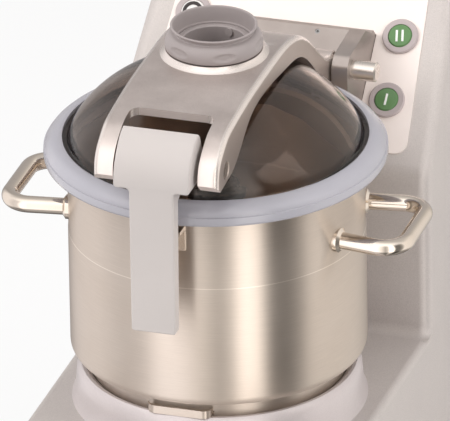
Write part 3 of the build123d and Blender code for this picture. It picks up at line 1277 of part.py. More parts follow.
def wiper_tube():
    """The open tube through the lid, which the knob turns and the wiper hangs on."""
    inner = WIPER_TUBE_RADIUS - WIPER_TUBE_WALL
    form = turned([(inner, WIPER_TUBE_LOW_Z), (WIPER_TUBE_RADIUS, WIPER_TUBE_LOW_Z),
                   (WIPER_TUBE_RADIUS, WIPER_TUBE_TOP_Z - 1), (WIPER_TUBE_RADIUS - 1, WIPER_TUBE_TOP_Z),
                   (inner + 1, WIPER_TUBE_TOP_Z), (inner, WIPER_TUBE_TOP_Z - 1)])
    for hole in knob_screw_holes():
        form -= hole
    return AXIS * form


def knob_screw_holes():
    """The three holes for the knob's screws, through the tube and into the knob."""
    inner = WIPER_TUBE_RADIUS - WIPER_TUBE_WALL
    hole = Pos(0, 0, KNOB_SCREW_Z) * rod(KNOB_SCREW_RADIUS, inner - 2, WIPER_TUBE_RADIUS + KNOB_SCREW_DEPTH)
    return around(hole, 3, KNOB_SCREW_ANGLE)


def wiper_knob():
    """The ring-shaped feed knob with a flared rim and finger recesses."""
    low = COLLAR_TOP_Z + KNOB_GAP
    top = KNOB_TOP_Z
    bore = WIPER_TUBE_RADIUS
    rim = KNOB_RIM_RADIUS
    side = Spline((KNOB_RADIUS - 1.8, low), (KNOB_RADIUS, low + 3.4), (KNOB_RADIUS - 3.6, low + 9.2),
                  (rim - 3.2, low + 14.6), (rim, top - 3.4))
    edge = Polyline(side @ 1, (rim + 0.2, top - 1), (rim - 0.8, top), (rim - 4, top), (bore, top - 3),
                    (bore, low), side @ 0)
    outline = [side, edge]
    form = revolve(Plane.XZ * make_face(outline), Axis.Z)
    recess = Pos(KNOB_RADIUS + 6.4, 0, low + 5) * Rot(0, -28, 0) * scale(Sphere(1), (8.6, 13, 5))
    for one in around(recess, KNOB_RECESSES, -10) + knob_screw_holes():
        form -= one
    return AXIS * form


def knob_screws():
    """The small screws inside the tube that hold the knob to it."""
    inner = WIPER_TUBE_RADIUS - WIPER_TUBE_WALL
    screw = rod(KNOB_SCREW_RADIUS, inner - 1, WIPER_TUBE_RADIUS + KNOB_SCREW_DEPTH)
    screw += rod(2 * KNOB_SCREW_RADIUS, inner - 1.8, inner - 0.4)
    return AXIS * Pos(0, 0, KNOB_SCREW_Z) * group(around(screw, 3, KNOB_SCREW_ANGLE))


def wiper_arm():
    """The wiper: a hub on the tube and an arm that follows the dome and the bowl's wall."""
    low = WIPER_TUBE_LOW_Z
    high = low + WIPER_HUB_HEIGHT
    hub = ring(WIPER_TUBE_RADIUS, WIPER_TUBE_RADIUS + 8, low, high)
    reach = WIPER_REACH
    shoulder = DOME_SHOULDER_Z - 8
    top = ThreePointArc((CLAMP_RADIUS + 3, high), (CLAMP_RADIUS + (reach - CLAMP_RADIUS) * 0.55, high - 15),
                        (reach - 8, shoulder))
    root = WIPER_TUBE_RADIUS + 4
    bend = Polyline(top @ 1, (reach, shoulder - 9), (reach, WIPER_LOW_Z), (reach - 6, WIPER_LOW_Z),
                    (reach - 10, shoulder - 12), (reach - 20, shoulder - 3), (CLAMP_RADIUS + 30, high - 26),
                    (CLAMP_RADIUS, low), (root, low), (root, high), top @ 0)
    spoke = extrude(Plane.XZ * make_face([top, bend]), amount=WIPER_THICKNESS / 2, both=True)
    form = hub + spoke - disc(WIPER_TUBE_RADIUS, low - 1, high + 1)
    return AXIS * Rot(0, 0, WIPER_ANGLE) * form


def wiper_strip():
    """The soft strip along the wiper's outer edge."""
    half = WIPER_THICKNESS / 2 - 1
    strip = block((WIPER_REACH, -half, WIPER_LOW_Z - WIPER_STRIP),
                  (WIPER_REACH + WIPER_STRIP, half, DOME_SHOULDER_Z - 20))
    return AXIS * Rot(0, 0, WIPER_ANGLE) * strip


def lever_side_outline():
    """The lever's side view: a straight stem, a head that leans back and a pivot boss."""
    front = LEVER_FRONT_Y
    back = front + LEVER_THICKNESS
    stem = Line((front, LEVER_LOW_Z), (front, HEAD_LOW_Z + 4))
    lean = Spline(stem @ 1, (front + 6, HEAD_LOW_Z + 26), (front + 20, HEAD_TOP_Z - 7),
                  (front + 34, HEAD_TOP_Z), tangents=((0, 1), (1, 0.25)))
    boss = LEVER_BOSS_RADIUS
    crest = Line(lean @ 1, (front + 38, HEAD_TOP_Z - 4))
    fall = Line(crest @ 1, (LATCH_PIVOT_Y + boss, LATCH_PIVOT_Z))
    round_boss = ThreePointArc(fall @ 1, (LATCH_PIVOT_Y + boss * 0.707, LATCH_PIVOT_Z - boss * 0.707),
                               (LATCH_PIVOT_Y, LATCH_PIVOT_Z - boss))
    neck = Line(round_boss @ 1, (back, HEAD_LOW_Z - 14))
    rear = Line(neck @ 1, (back - 4, LEVER_LOW_Z))
    foot = Line(rear @ 1, stem @ 0)
    return make_face([stem, lean, crest, fall, round_boss, neck, rear, foot])


def latch_lever():
    """The moulded latch lever: a long stem under a wide head that fills the arm's window."""
    stem = LEVER_HALF_WIDTH
    head = HEAD_HALF_WIDTH
    front_view = make_face(Polyline((-stem, LEVER_LOW_Z), (stem, LEVER_LOW_Z), (stem, HEAD_LOW_Z),
                                    (head, HEAD_LOW_Z), (head, HEAD_TOP_Z + 4), (-head, HEAD_TOP_Z + 4),
                                    (-head, HEAD_LOW_Z), (-stem, HEAD_LOW_Z), close=True))
    inside = [v for v in front_view.vertices() if abs(abs(v.X) - stem) < 1 and abs(v.Y - HEAD_LOW_Z) < 1]
    front_view = fillet(inside, 4)
    outside = [v for v in front_view.vertices() if v.Y < LEVER_LOW_Z + 1 or
               (abs(v.X) > head - 1 and abs(v.Y - HEAD_LOW_Z) < 1)]
    front_view = fillet(outside, 3)
    form = across(lever_side_outline(), head + 5)
    form &= extrude(Plane.XZ.offset(-LEVER_FRONT_Y - 100) * front_view, amount=200)
    rims = [edge for edge in form.edges() if edge.center().Y < LEVER_FRONT_Y + 0.2
            and edge.center().Z < HEAD_LOW_Z + 3]
    form = fillet(rims, LEVER_EDGE_RADIUS)
    bore = rod(LATCH_PIN_RADIUS + LATCH_RUNNING_FIT, -head - 1, head + 1)
    form -= Pos(0, LATCH_PIVOT_Y, LATCH_PIVOT_Z) * bore
    return form


def hook_height():
    """The height of the hook's top face, just under the keeper's lip."""
    return KEEPER_Z - KEEPER_LIP - HOOK_CLEARANCE


def latch_hook():
    """The steel hook on the lever's back that reaches under the keeper."""
    back = LEVER_FRONT_Y + LEVER_THICKNESS
    top = hook_height()
    reach = BOWL_Y - BOWL_TOP_RADIUS - 6
    t = HOOK_THICKNESS
    points = [(back - 4, top - 42), (back + t, top - 42), (back + t, top - t - 8), (back + t + 8, top - t),
              (reach, top - t), (reach, top), (back - 4, top)]
    neck = HEAD_LOW_Z - 14
    lever_back = [(back - 20, LEVER_LOW_Z), (back - 4, LEVER_LOW_Z), (back, neck), (back - 20, neck)]
    return side_cut(points, HOOK_HALF_WIDTH) - side_cut(lever_back, HEAD_HALF_WIDTH)


PARTS = {
    "housing": housing,
    "service_cover": service_cover,
    "service_screws": service_screws,
    "bottom_plate": bottom_plate,
    "feet": feet,
    "cable_gland": cable_gland,
    "control_panel": control_panel,
    "button_bezels": button_bezels,
    "contact_blocks": contact_blocks,
    "electrical_plate": electrical_plate,
    "contactors": contactors,
    "terminal_block": terminal_block,
    "lid_switch": lid_switch,
    "seat_ring": seat_ring,
    "seat_ring_screws": seat_ring_screws,
    "motor_flange": motor_flange,
    "flange_bolts": flange_bolts,
    "motor_frame": motor_frame,
    "stator_core": stator_core,
    "windings": windings,
    "motor_end_shield": motor_end_shield,
    "bearings": bearings,
    "shaft_seal": shaft_seal,
    "motor_shaft": motor_shaft,
    "rotor_core": rotor_core,
    "cooling_fan": cooling_fan,
    "bowl_shell": bowl_shell,
    "bowl_tube": bowl_tube,
    "bowl_skirt": bowl_skirt,
    "bowl_tab": bowl_tab,
    "bowl_handles": bowl_handles,
    "handle_collars": handle_collars,
    "latch_keeper": latch_keeper,
    "blade_hub": blade_hub,
    "blades": blades,
    "blade_cap": blade_cap,
    "hinge_bracket": hinge_bracket,
    "bracket_bolts": bracket_bolts,
    "grub_screw": grub_screw,
    "hinge_pin": hinge_pin,
    "hinge_bushes": hinge_bushes,
    "lid_arm": lid_arm,
    "lid_magnet": lid_magnet,
    "latch_pin": latch_pin,
    "dome": dome,
    "dome_clamp": dome_clamp,
    "dome_screws": dome_screws,
    "lid_seal": lid_seal,
    "wiper_bush": wiper_bush,
    "wiper_tube": wiper_tube,
    "wiper_knob": wiper_knob,
    "knob_screws": knob_screws,
    "wiper_arm": wiper_arm,
    "wiper_strip": wiper_strip,
    "latch_lever": latch_lever,
    "latch_hook": latch_hook,
}

os.makedirs("parts", exist_ok=True)
for name, make in PARTS.items():
    export_step(make(), f"parts/{name}.step")
for name, (place_x, length) in zip(("button_stop", "button_one", "button_two"), button_places()):
    export_step(button(place_x, length), f"parts/{name}.step")
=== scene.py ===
import bpy
import json
import math
from mathutils import Matrix, Vector

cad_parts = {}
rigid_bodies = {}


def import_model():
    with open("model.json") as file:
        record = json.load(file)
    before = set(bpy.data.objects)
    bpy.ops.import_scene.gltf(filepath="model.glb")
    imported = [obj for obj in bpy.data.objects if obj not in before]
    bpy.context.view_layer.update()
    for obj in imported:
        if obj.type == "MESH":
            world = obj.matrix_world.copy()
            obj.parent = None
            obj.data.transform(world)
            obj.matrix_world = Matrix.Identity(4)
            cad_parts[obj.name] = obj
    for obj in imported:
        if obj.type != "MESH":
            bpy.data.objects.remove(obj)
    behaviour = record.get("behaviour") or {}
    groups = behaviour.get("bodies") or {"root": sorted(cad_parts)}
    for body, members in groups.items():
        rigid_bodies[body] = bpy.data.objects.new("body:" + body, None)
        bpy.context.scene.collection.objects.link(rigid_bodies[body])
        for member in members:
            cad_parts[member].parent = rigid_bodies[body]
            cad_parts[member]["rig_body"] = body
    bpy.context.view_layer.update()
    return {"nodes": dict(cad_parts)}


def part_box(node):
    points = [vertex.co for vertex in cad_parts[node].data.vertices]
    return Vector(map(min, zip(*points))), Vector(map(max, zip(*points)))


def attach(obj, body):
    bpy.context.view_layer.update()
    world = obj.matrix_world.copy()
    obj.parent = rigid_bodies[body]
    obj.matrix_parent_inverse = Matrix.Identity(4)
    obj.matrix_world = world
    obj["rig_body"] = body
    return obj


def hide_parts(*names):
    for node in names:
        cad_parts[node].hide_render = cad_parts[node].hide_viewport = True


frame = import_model()
nodes = frame["nodes"]
print("frame loaded with", len(nodes), "nodes")


# places that several pieces share, read from the frame
def middleOf(nodeName):
    low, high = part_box(nodeName)
    return (low + high) / 2


bowlAxis = middleOf("bowl_tube")
bowlAxis.z = 0


# the photograph's view, in metres and pixels of its 450 by 421 frame
view = {
    "place": (4.1808, -13.1251, 7.1599),
    "aim": (0, -0.08, 0.4581),
    "right": (0.95449, 0.29784, -0.01569),
    "focalPixels": 15924,
    "widthPixels": 450,
    "sensor": 36,
    "shiftX": 0.01778,
    "shiftY": 0.00035,
}


def addCamera(spec):
    data = bpy.data.cameras.new("photoCamera")
    camera = bpy.data.objects.new("photoCamera", data)
    bpy.context.scene.collection.objects.link(camera)
    place = Vector(spec["place"])
    forward = (Vector(spec["aim"]) - place).normalized()
    right = Vector(spec["right"]).normalized()
    up = right.cross(forward).normalized()
    turn = Matrix((right, up, -forward)).transposed()
    camera.matrix_world = Matrix.Translation(place) @ turn.to_4x4()
    data.sensor_width = spec["sensor"]
    data.lens = spec["focalPixels"] * spec["sensor"] / spec["widthPixels"]
    data.shift_x = spec["shiftX"]
    data.shift_y = spec["shiftY"]
    data.clip_end = 60
    bpy.context.scene.camera = camera


addCamera(view)
print("camera set")


# soft studio light: big lamps, and a room whose walls metal and glass show
studio = {
    "roomStrength": 0.60,
    "roomColour": (1.0, 0.985, 0.975),
    "ceiling": (1.0, 0.965, 0.945),
    "ceilingFront": 1.7,  # brightness of the ceiling towards the front, and towards the back
    "ceilingBack": 0.62,
    "underfoot": 0.30,  # how much of the walls' brightness gloss sees from below
    "ceilingDepth": (-0.62, 0.4),  # where that change starts and ends, as a direction's Y
    "ceilingRise": (0.5, 0.92),  # where the walls turn into the ceiling, as a direction's Z
    "footFall": (-0.56, -0.80),  # where the walls turn into the dark underfoot
    "floorColour": 0.86,
    "floorRough": 0.9,
    "floorGlow": 0.75,  # share of the floor that the camera sees as plain white
    "floorSize": 8,
    # degrees from the front towards the right, the wall's brightness there and its tint
    "walls": [(-180, 0.50, "cool"), (-138, 0.42, "cool"), (-118, 1.06, "cool"), (-84, 1.12, "cool"),
              (-58, 0.88, "cool"), (-42, 0.95, "cool"), (-28, 1.75, "cool"), (-10, 1.70, "cool"),
              (6, 1.15, "warm"), (18, 0.58, "warm"), (28, 0.92, "warm"), (35, 2.4, "warm"),
              (48, 2.15, "warm"), (56, 0.20, "warm"), (72, 0.22, "warm"), (82, 0.44, "warm"),
              (91, 1.10, "warm"), (125, 1.02, "warm"), (150, 0.90, "warm"), (166, 0.60, "warm"),
              (180, 0.50, "cool")],
    "tints": {"cool": (1.0, 0.955, 0.945), "warm": (1.0, 0.945, 0.895)},
    "lamps": [
        {"place": (-1.9, -1.5, 2.4), "size": (1.8, 1.8), "power": 52, "tint": (1.0, 0.99, 0.98)},
        {"place": (2.3, -0.6, 1.9), "size": (1.5, 1.9), "power": 29, "tint": (1.0, 0.98, 0.96)},
        {"place": (0.2, 0.4, 3.0), "size": (2.6, 2.2), "power": 14, "tint": (1.0, 0.985, 0.975)},
    ],
    "lampAim": (0, -0.05, 0.42),
}


def addLamp(number, spec, aim):
    data = bpy.data.lights.new("softLamp%d" % number, "AREA")
    data.shape = "RECTANGLE"
    data.size, data.size_y = spec["size"]
    data.energy = spec["power"]
    data.color = spec["tint"]
    lamp = bpy.data.objects.new("softLamp%d" % number, data)
    bpy.context.scene.collection.objects.link(lamp)
    lamp.location = spec["place"]
    lamp.rotation_euler = (Vector(aim) - lamp.location).to_track_quat("-Z", "Y").to_euler()
    lamp.visible_glossy = False  # gloss shows the room's walls instead


# a sum in a node tree, of values or of sockets
def maths(tree, operation, first, second):
    node = tree.nodes.new("ShaderNodeMath")
    node.operation = operation
    for socket, value in zip(node.inputs, (first, second)):
        if isinstance(value, (int, float)):
            socket.default_value = value
        else:
            tree.links.new(value, socket)
    return node.outputs[0]


# a soft step of a value, from one level to another between two limits
def rise(tree, value, limits, levels=(0, 1)):
    node = tree.nodes.new("ShaderNodeMapRange")
    node.interpolation_type = "SMOOTHSTEP"
    node.inputs["From Min"].default_value, node.inputs["From Max"].default_value = limits
    node.inputs["To Min"].default_value, node.inputs["To Max"].default_value = levels
    tree.links.new(value, node.inputs["Value"])
    return node.outputs[0]


def buildWorld(spec):
    world = bpy.data.worlds.new("paleStudio")
    bpy.context.scene.world = world
    world.use_nodes = True
    tree = world.node_tree
    add, link = tree.nodes.new, tree.links.new
    tree.nodes.clear()
    coordinate = add("ShaderNodeTexCoord")
    split = add("ShaderNodeSeparateXYZ")
    link(coordinate.outputs["Generated"], split.inputs[0])
    forward = maths(tree, "MULTIPLY", split.outputs["Y"], -1)
    turn = maths(tree, "ARCTAN2", split.outputs["X"], forward)
    share = add("ShaderNodeMapRange")
    share.inputs["From Min"].default_value = -math.pi
    share.inputs["From Max"].default_value = math.pi
    link(turn, share.inputs["Value"])
    walls = add("ShaderNodeValToRGB")
    stops = walls.color_ramp.elements
    stops.remove(stops[0])
    for index, (degrees, brightness, tint) in enumerate(spec["walls"]):
        place = 0.5 + degrees / 360
        stop = stops[0] if index == 0 else stops.new(place)
        stop.position = place
        stop.color = tuple(brightness * part for part in spec["tints"][tint]) + (1,)
    link(share.outputs[0], walls.inputs[0])
    height = rise(tree, split.outputs["Z"], spec["ceilingRise"])
    depth = rise(tree, split.outputs["Y"], spec["ceilingDepth"], (spec["ceilingFront"], spec["ceilingBack"]))
    ceiling = add("ShaderNodeVectorMath")
    ceiling.operation = "SCALE"
    ceiling.inputs[0].default_value = spec["ceiling"]
    link(depth, ceiling.inputs["Scale"])
    inside = add("ShaderNodeMix")
    inside.data_type = "RGBA"
    link(height, inside.inputs["Factor"])
    link(walls.outputs[0], inside.inputs["A"])
    link(ceiling.outputs[0], inside.inputs["B"])

    def background(strength):
        node = add("ShaderNodeBackground")
        node.inputs["Strength"].default_value = strength
        return node

    def mix(factor, first, second):
        node = add("ShaderNodeMixShader")
        link(factor, node.inputs[0])
        link(first, node.inputs[1])
        link(second, node.inputs[2])
        return node.outputs[0]

    room, light, white = background(1), background(spec["roomStrength"]), background(1)
    darkened = add("ShaderNodeVectorMath")
    darkened.operation = "SCALE"
    link(inside.outputs["Result"], darkened.inputs[0])
    link(rise(tree, split.outputs["Z"], spec["footFall"], (1, spec["underfoot"])), darkened.inputs["Scale"])
    link(darkened.outputs[0], room.inputs["Color"])
    light.inputs["Color"].default_value = spec["roomColour"] + (1,)
    white.inputs["Color"].default_value = (1, 1, 1, 1)
    path = add("ShaderNodeLightPath")
    shown = mix(path.outputs["Is Glossy Ray"], light.outputs[0], room.outputs[0])
    shown = mix(path.outputs["Is Transmission Ray"], shown, room.outputs[0])
    shown = mix(path.outputs["Is Camera Ray"], shown, white.outputs[0])
    link(shown, add("ShaderNodeOutputWorld").inputs[0])


def selectOnly(*pieces):
    bpy.ops.object.select_all(action="DESELECT")
    for piece in pieces:
        piece.select_set(True)
    bpy.context.view_layer.objects.active = pieces[0]


def addFloor(spec):
    bpy.ops.object.select_all(action="DESELECT")
    bpy.ops.mesh.primitive_plane_add(size=spec["floorSize"], location=(0, 0, 0))
    floor = bpy.context.object
    floor.name = "studioFloor"
    material = bpy.data.materials.new("paleFloor")
    material.use_nodes = True
    tree = material.node_tree
    add, link = tree.nodes.new, tree.links.new
    surface = tree.nodes["Principled BSDF"]
    surface.inputs["Base Color"].default_value = (spec["floorColour"],) * 3 + (1,)
    surface.inputs["Roughness"].default_value = spec["floorRough"]
    glow = add("ShaderNodeEmission")
    path = add("ShaderNodeLightPath")
    mix = add("ShaderNodeMixShader")
    link(maths(tree, "MULTIPLY", path.outputs["Is Camera Ray"], spec["floorGlow"]), mix.inputs[0])
    link(surface.outputs[0], mix.inputs[1])
    link(glow.outputs[0], mix.inputs[2])
    clear = add("ShaderNodeBsdfTransparent")
    through = add("ShaderNodeMixShader")
    link(path.outputs["Is Glossy Ray"], through.inputs[0])
    link(mix.outputs[0], through.inputs[1])
    link(clear.outputs[0], through.inputs[2])
    link(through.outputs[0], tree.nodes["Material Output"].inputs[0])
    floor.data.materials.append(material)


bpy.context.scene.view_settings.view_transform = "Standard"
buildWorld(studio)
for number, lampSpec in enumerate(studio["lamps"]):
    addLamp(number, lampSpec, studio["lampAim"])
addFloor(studio)
print("studio built")


# colours are written as they read in the picture, 0 to 255
def tone(red, green, blue):
    def channel(value):
        value /= 255
        return value / 12.92 if value <= 0.04045 else ((value + 0.055) / 1.055) ** 2.4
    return (channel(red), channel(green), channel(blue), 1)


# shared effects, each a group with its own inputs
def newGroup(name, inputs, outputs):
    tree = bpy.data.node_groups.new(name, "ShaderNodeTree")
    for label, kind, value in inputs:
        socket = tree.interface.new_socket(label, in_out="INPUT", socket_type="NodeSocket" + kind)
        socket.default_value = value
    for label, kind in outputs:
        tree.interface.new_socket(label, in_out="OUTPUT", socket_type="NodeSocket" + kind)
    return tree, tree.nodes.new("NodeGroupInput"), tree.nodes.new("NodeGroupOutput")


def makeGrain():
    tree, inward, outward = newGroup("fineGrain", [("Scale", "Float", 900), ("Strength", "Float", 0.2),
                                                   ("Depth", "Float", 0.0002)],
                                     [("Mask", "Float"), ("Normal", "Vector")])
    add, link = tree.nodes.new, tree.links.new
    coordinate = add("ShaderNodeTexCoord")
    noise = add("ShaderNodeTexNoise")
    noise.inputs["Detail"].default_value = 3
    noise.inputs["Roughness"].default_value = 0.6
    link(coordinate.outputs["Object"], noise.inputs["Vector"])
    link(inward.outputs["Scale"], noise.inputs["Scale"])
    bump = add("ShaderNodeBump")
    link(inward.outputs["Strength"], bump.inputs["Strength"])
    link(inward.outputs["Depth"], bump.inputs["Distance"])
    link(noise.outputs["Fac"], bump.inputs["Height"])
    link(noise.outputs["Fac"], outward.inputs["Mask"])
    link(bump.outputs[0], outward.inputs["Normal"])
    return tree


def makePatches():
    tree, inward, outward = newGroup(
        "softPatches",
        [("Scale", "Float", 14),
         ("Colour One", "Color", (0.5, 0.5, 0.5, 1)), ("Colour Two", "Color", (0.5, 0.5, 0.5, 1)),
         ("Rough One", "Float", 0.4), ("Rough Two", "Float", 0.5)],
        [("Colour", "Color"), ("Roughness", "Float"), ("Mask", "Float")])
    add, link = tree.nodes.new, tree.links.new
    coordinate = add("ShaderNodeTexCoord")
    noise = add("ShaderNodeTexNoise")
    noise.inputs["Detail"].default_value = 6
    noise.inputs["Roughness"].default_value = 0.55
    link(coordinate.outputs["Object"], noise.inputs["Vector"])
    link(inward.outputs["Scale"], noise.inputs["Scale"])
    spread = add("ShaderNodeMapRange")
    spread.inputs["From Min"].default_value = 0.3
    spread.inputs["From Max"].default_value = 0.7
    link(noise.outputs["Fac"], spread.inputs["Value"])
    colour = add("ShaderNodeMix")
    colour.data_type = "RGBA"
    link(spread.outputs[0], colour.inputs["Factor"])
    link(inward.outputs["Colour One"], colour.inputs["A"])
    link(inward.outputs["Colour Two"], colour.inputs["B"])
    rough = add("ShaderNodeMix")
    link(spread.outputs[0], rough.inputs["Factor"])
    link(inward.outputs["Rough One"], rough.inputs["A"])
    link(inward.outputs["Rough Two"], rough.inputs["B"])
    link(colour.outputs["Result"], outward.inputs["Colour"])
    link(rough.outputs["Result"], outward.inputs["Roughness"])
    link(spread.outputs[0], outward.inputs["Mask"])
    return tree


# brushing: fine lines that run round an upright axis, or along X where Round is 0
straightReach = 9  # how closely straight brushing is broken up along X, next to round brushing


def makeBrushing():
    tree, inward, outward = newGroup(
        "brushing",
        [("Centre", "Vector", (0, 0, 0)), ("Round", "Float", 1), ("Fineness", "Float", 1400),
         ("Length", "Float", 9), ("Strength", "Float", 0.15)],
        [("Mask", "Float"), ("Normal", "Vector")])
    add, link = tree.nodes.new, tree.links.new
    coordinate = add("ShaderNodeTexCoord")
    away = add("ShaderNodeVectorMath")
    away.operation = "SUBTRACT"
    link(coordinate.outputs["Object"], away.inputs[0])
    link(inward.outputs["Centre"], away.inputs[1])
    split = add("ShaderNodeSeparateXYZ")
    link(away.outputs[0], split.inputs[0])
    turn = maths(tree, "ARCTAN2", split.outputs["X"], split.outputs["Y"])
    across = maths(tree, "MULTIPLY", split.outputs["X"], straightReach)
    along = add("ShaderNodeMix")
    link(inward.outputs["Round"], along.inputs["Factor"])
    link(across, along.inputs["A"])
    link(turn, along.inputs["B"])
    reach = add("ShaderNodeVectorMath")
    reach.operation = "LENGTH"
    flat = add("ShaderNodeCombineXYZ")
    link(split.outputs["X"], flat.inputs["X"])
    link(split.outputs["Y"], flat.inputs["Y"])
    link(flat.outputs[0], reach.inputs[0])
    place = add("ShaderNodeCombineXYZ")
    link(maths(tree, "MULTIPLY", along.outputs["Result"], inward.outputs["Length"]), place.inputs["X"])
    link(maths(tree, "MULTIPLY", reach.outputs["Value"], inward.outputs["Fineness"]), place.inputs["Y"])
    link(maths(tree, "MULTIPLY", split.outputs["Z"], inward.outputs["Fineness"]), place.inputs["Z"])
    noise = add("ShaderNodeTexNoise")
    noise.inputs["Scale"].default_value = 1
    noise.inputs["Detail"].default_value = 3
    link(place.outputs[0], noise.inputs["Vector"])
    bump = add("ShaderNodeBump")
    bump.inputs["Distance"].default_value = 0.0001
    link(inward.outputs["Strength"], bump.inputs["Strength"])
    link(noise.outputs["Fac"], bump.inputs["Height"])
    link(noise.outputs["Fac"], outward.inputs["Mask"])
    link(bump.outputs[0], outward.inputs["Normal"])
    return tree


grainGroup = makeGrain()
patchGroup = makePatches()
brushGroup = makeBrushing()


def placeGroup(material, group, values):
    node = material.node_tree.nodes.new("ShaderNodeGroup")
    node.node_tree = group
    for label, value in values.items():
        node.inputs[label].default_value = value
    return node


# speckle: how dark and how light the grain's low and high parts turn the colour
speckle = {"noise": (0.35, 0.62), "shade": (0.55, 1.15)}


# one finish: patches drive colour and roughness, and grain or brushing drives the normal
def makeFinish(name, spec):
    material = bpy.data.materials.new(name)
    material.use_nodes = True
    tree = material.node_tree
    surface = tree.nodes["Principled BSDF"]
    surface.inputs["Metallic"].default_value = spec.get("metallic", 0)
    for label, value in spec.get("sockets", {}).items():
        surface.inputs[label].default_value = value
    patches = placeGroup(material, patchGroup, {
        "Scale": spec.get("patchScale", 14),
        "Colour One": tone(*spec["colours"][0]), "Colour Two": tone(*spec["colours"][1]),
        "Rough One": spec["rough"][0], "Rough Two": spec["rough"][1]})
    tree.links.new(patches.outputs["Colour"], surface.inputs["Base Color"])
    tree.links.new(patches.outputs["Roughness"], surface.inputs["Roughness"])
    if "brush" in spec:
        texture = placeGroup(material, brushGroup, spec["brush"])
    else:
        texture = placeGroup(material, grainGroup, spec["grain"])
    tree.links.new(texture.outputs["Normal"], surface.inputs["Normal"])
    if "speckle" in spec:
        dots = tree.nodes.new("ShaderNodeMix")
        dots.data_type = "RGBA"
        dots.blend_type = "MULTIPLY"
        dots.inputs["Factor"].default_value = spec["speckle"]
        shade = tree.nodes.new("ShaderNodeMapRange")
        shade.inputs["From Min"].default_value, shade.inputs["From Max"].default_value = speckle["noise"]
        shade.inputs["To Min"].default_value, shade.inputs["To Max"].default_value = speckle["shade"]
        shade.clamp = False
        tree.links.new(texture.outputs["Mask"], shade.inputs["Value"])
        tree.links.new(patches.outputs["Colour"], dots.inputs["A"])
        tree.links.new(shade.outputs[0], dots.inputs["B"])
        tree.links.new(dots.outputs["Result"], surface.inputs["Base Color"])
    if "line" in spec:  # a fine level line painted lighter: a painted highlight along the bowl's seam step
        coordinate = tree.nodes.new("ShaderNodeTexCoord")
        split = tree.nodes.new("ShaderNodeSeparateXYZ")
        tree.links.new(coordinate.outputs["Object"], split.inputs[0])
        onSeamHighlight = tree.nodes.new("ShaderNodeMath")
        onSeamHighlight.operation = "COMPARE"
        onSeamHighlight.inputs[1].default_value = spec["line"]["height"]
        onSeamHighlight.inputs[2].default_value = spec["line"]["half"]
        tree.links.new(split.outputs["Z"], onSeamHighlight.inputs[0])
        drawn = tree.nodes.new("ShaderNodeMix")
        drawn.data_type = "RGBA"
        drawn.inputs["B"].default_value = tone(*spec["line"]["colour"])
        tree.links.new(surface.inputs["Base Color"].links[0].from_socket, drawn.inputs["A"])
        tree.links.new(onSeamHighlight.outputs[0], drawn.inputs["Factor"])
        tree.links.new(drawn.outputs["Result"], surface.inputs["Base Color"])
    if "lengthways" in spec:  # brushed metal spreads its highlights across the lines
        surface.inputs["Anisotropic"].default_value = spec["lengthways"]
        surface.inputs["Anisotropic Rotation"].default_value = quarterTurn
        tangent = tree.nodes.new("ShaderNodeTangent")
        tangent.direction_type = "RADIAL"
        tangent.axis = "Z"
        tree.links.new(tangent.outputs[0], surface.inputs["Tangent"])
    return material


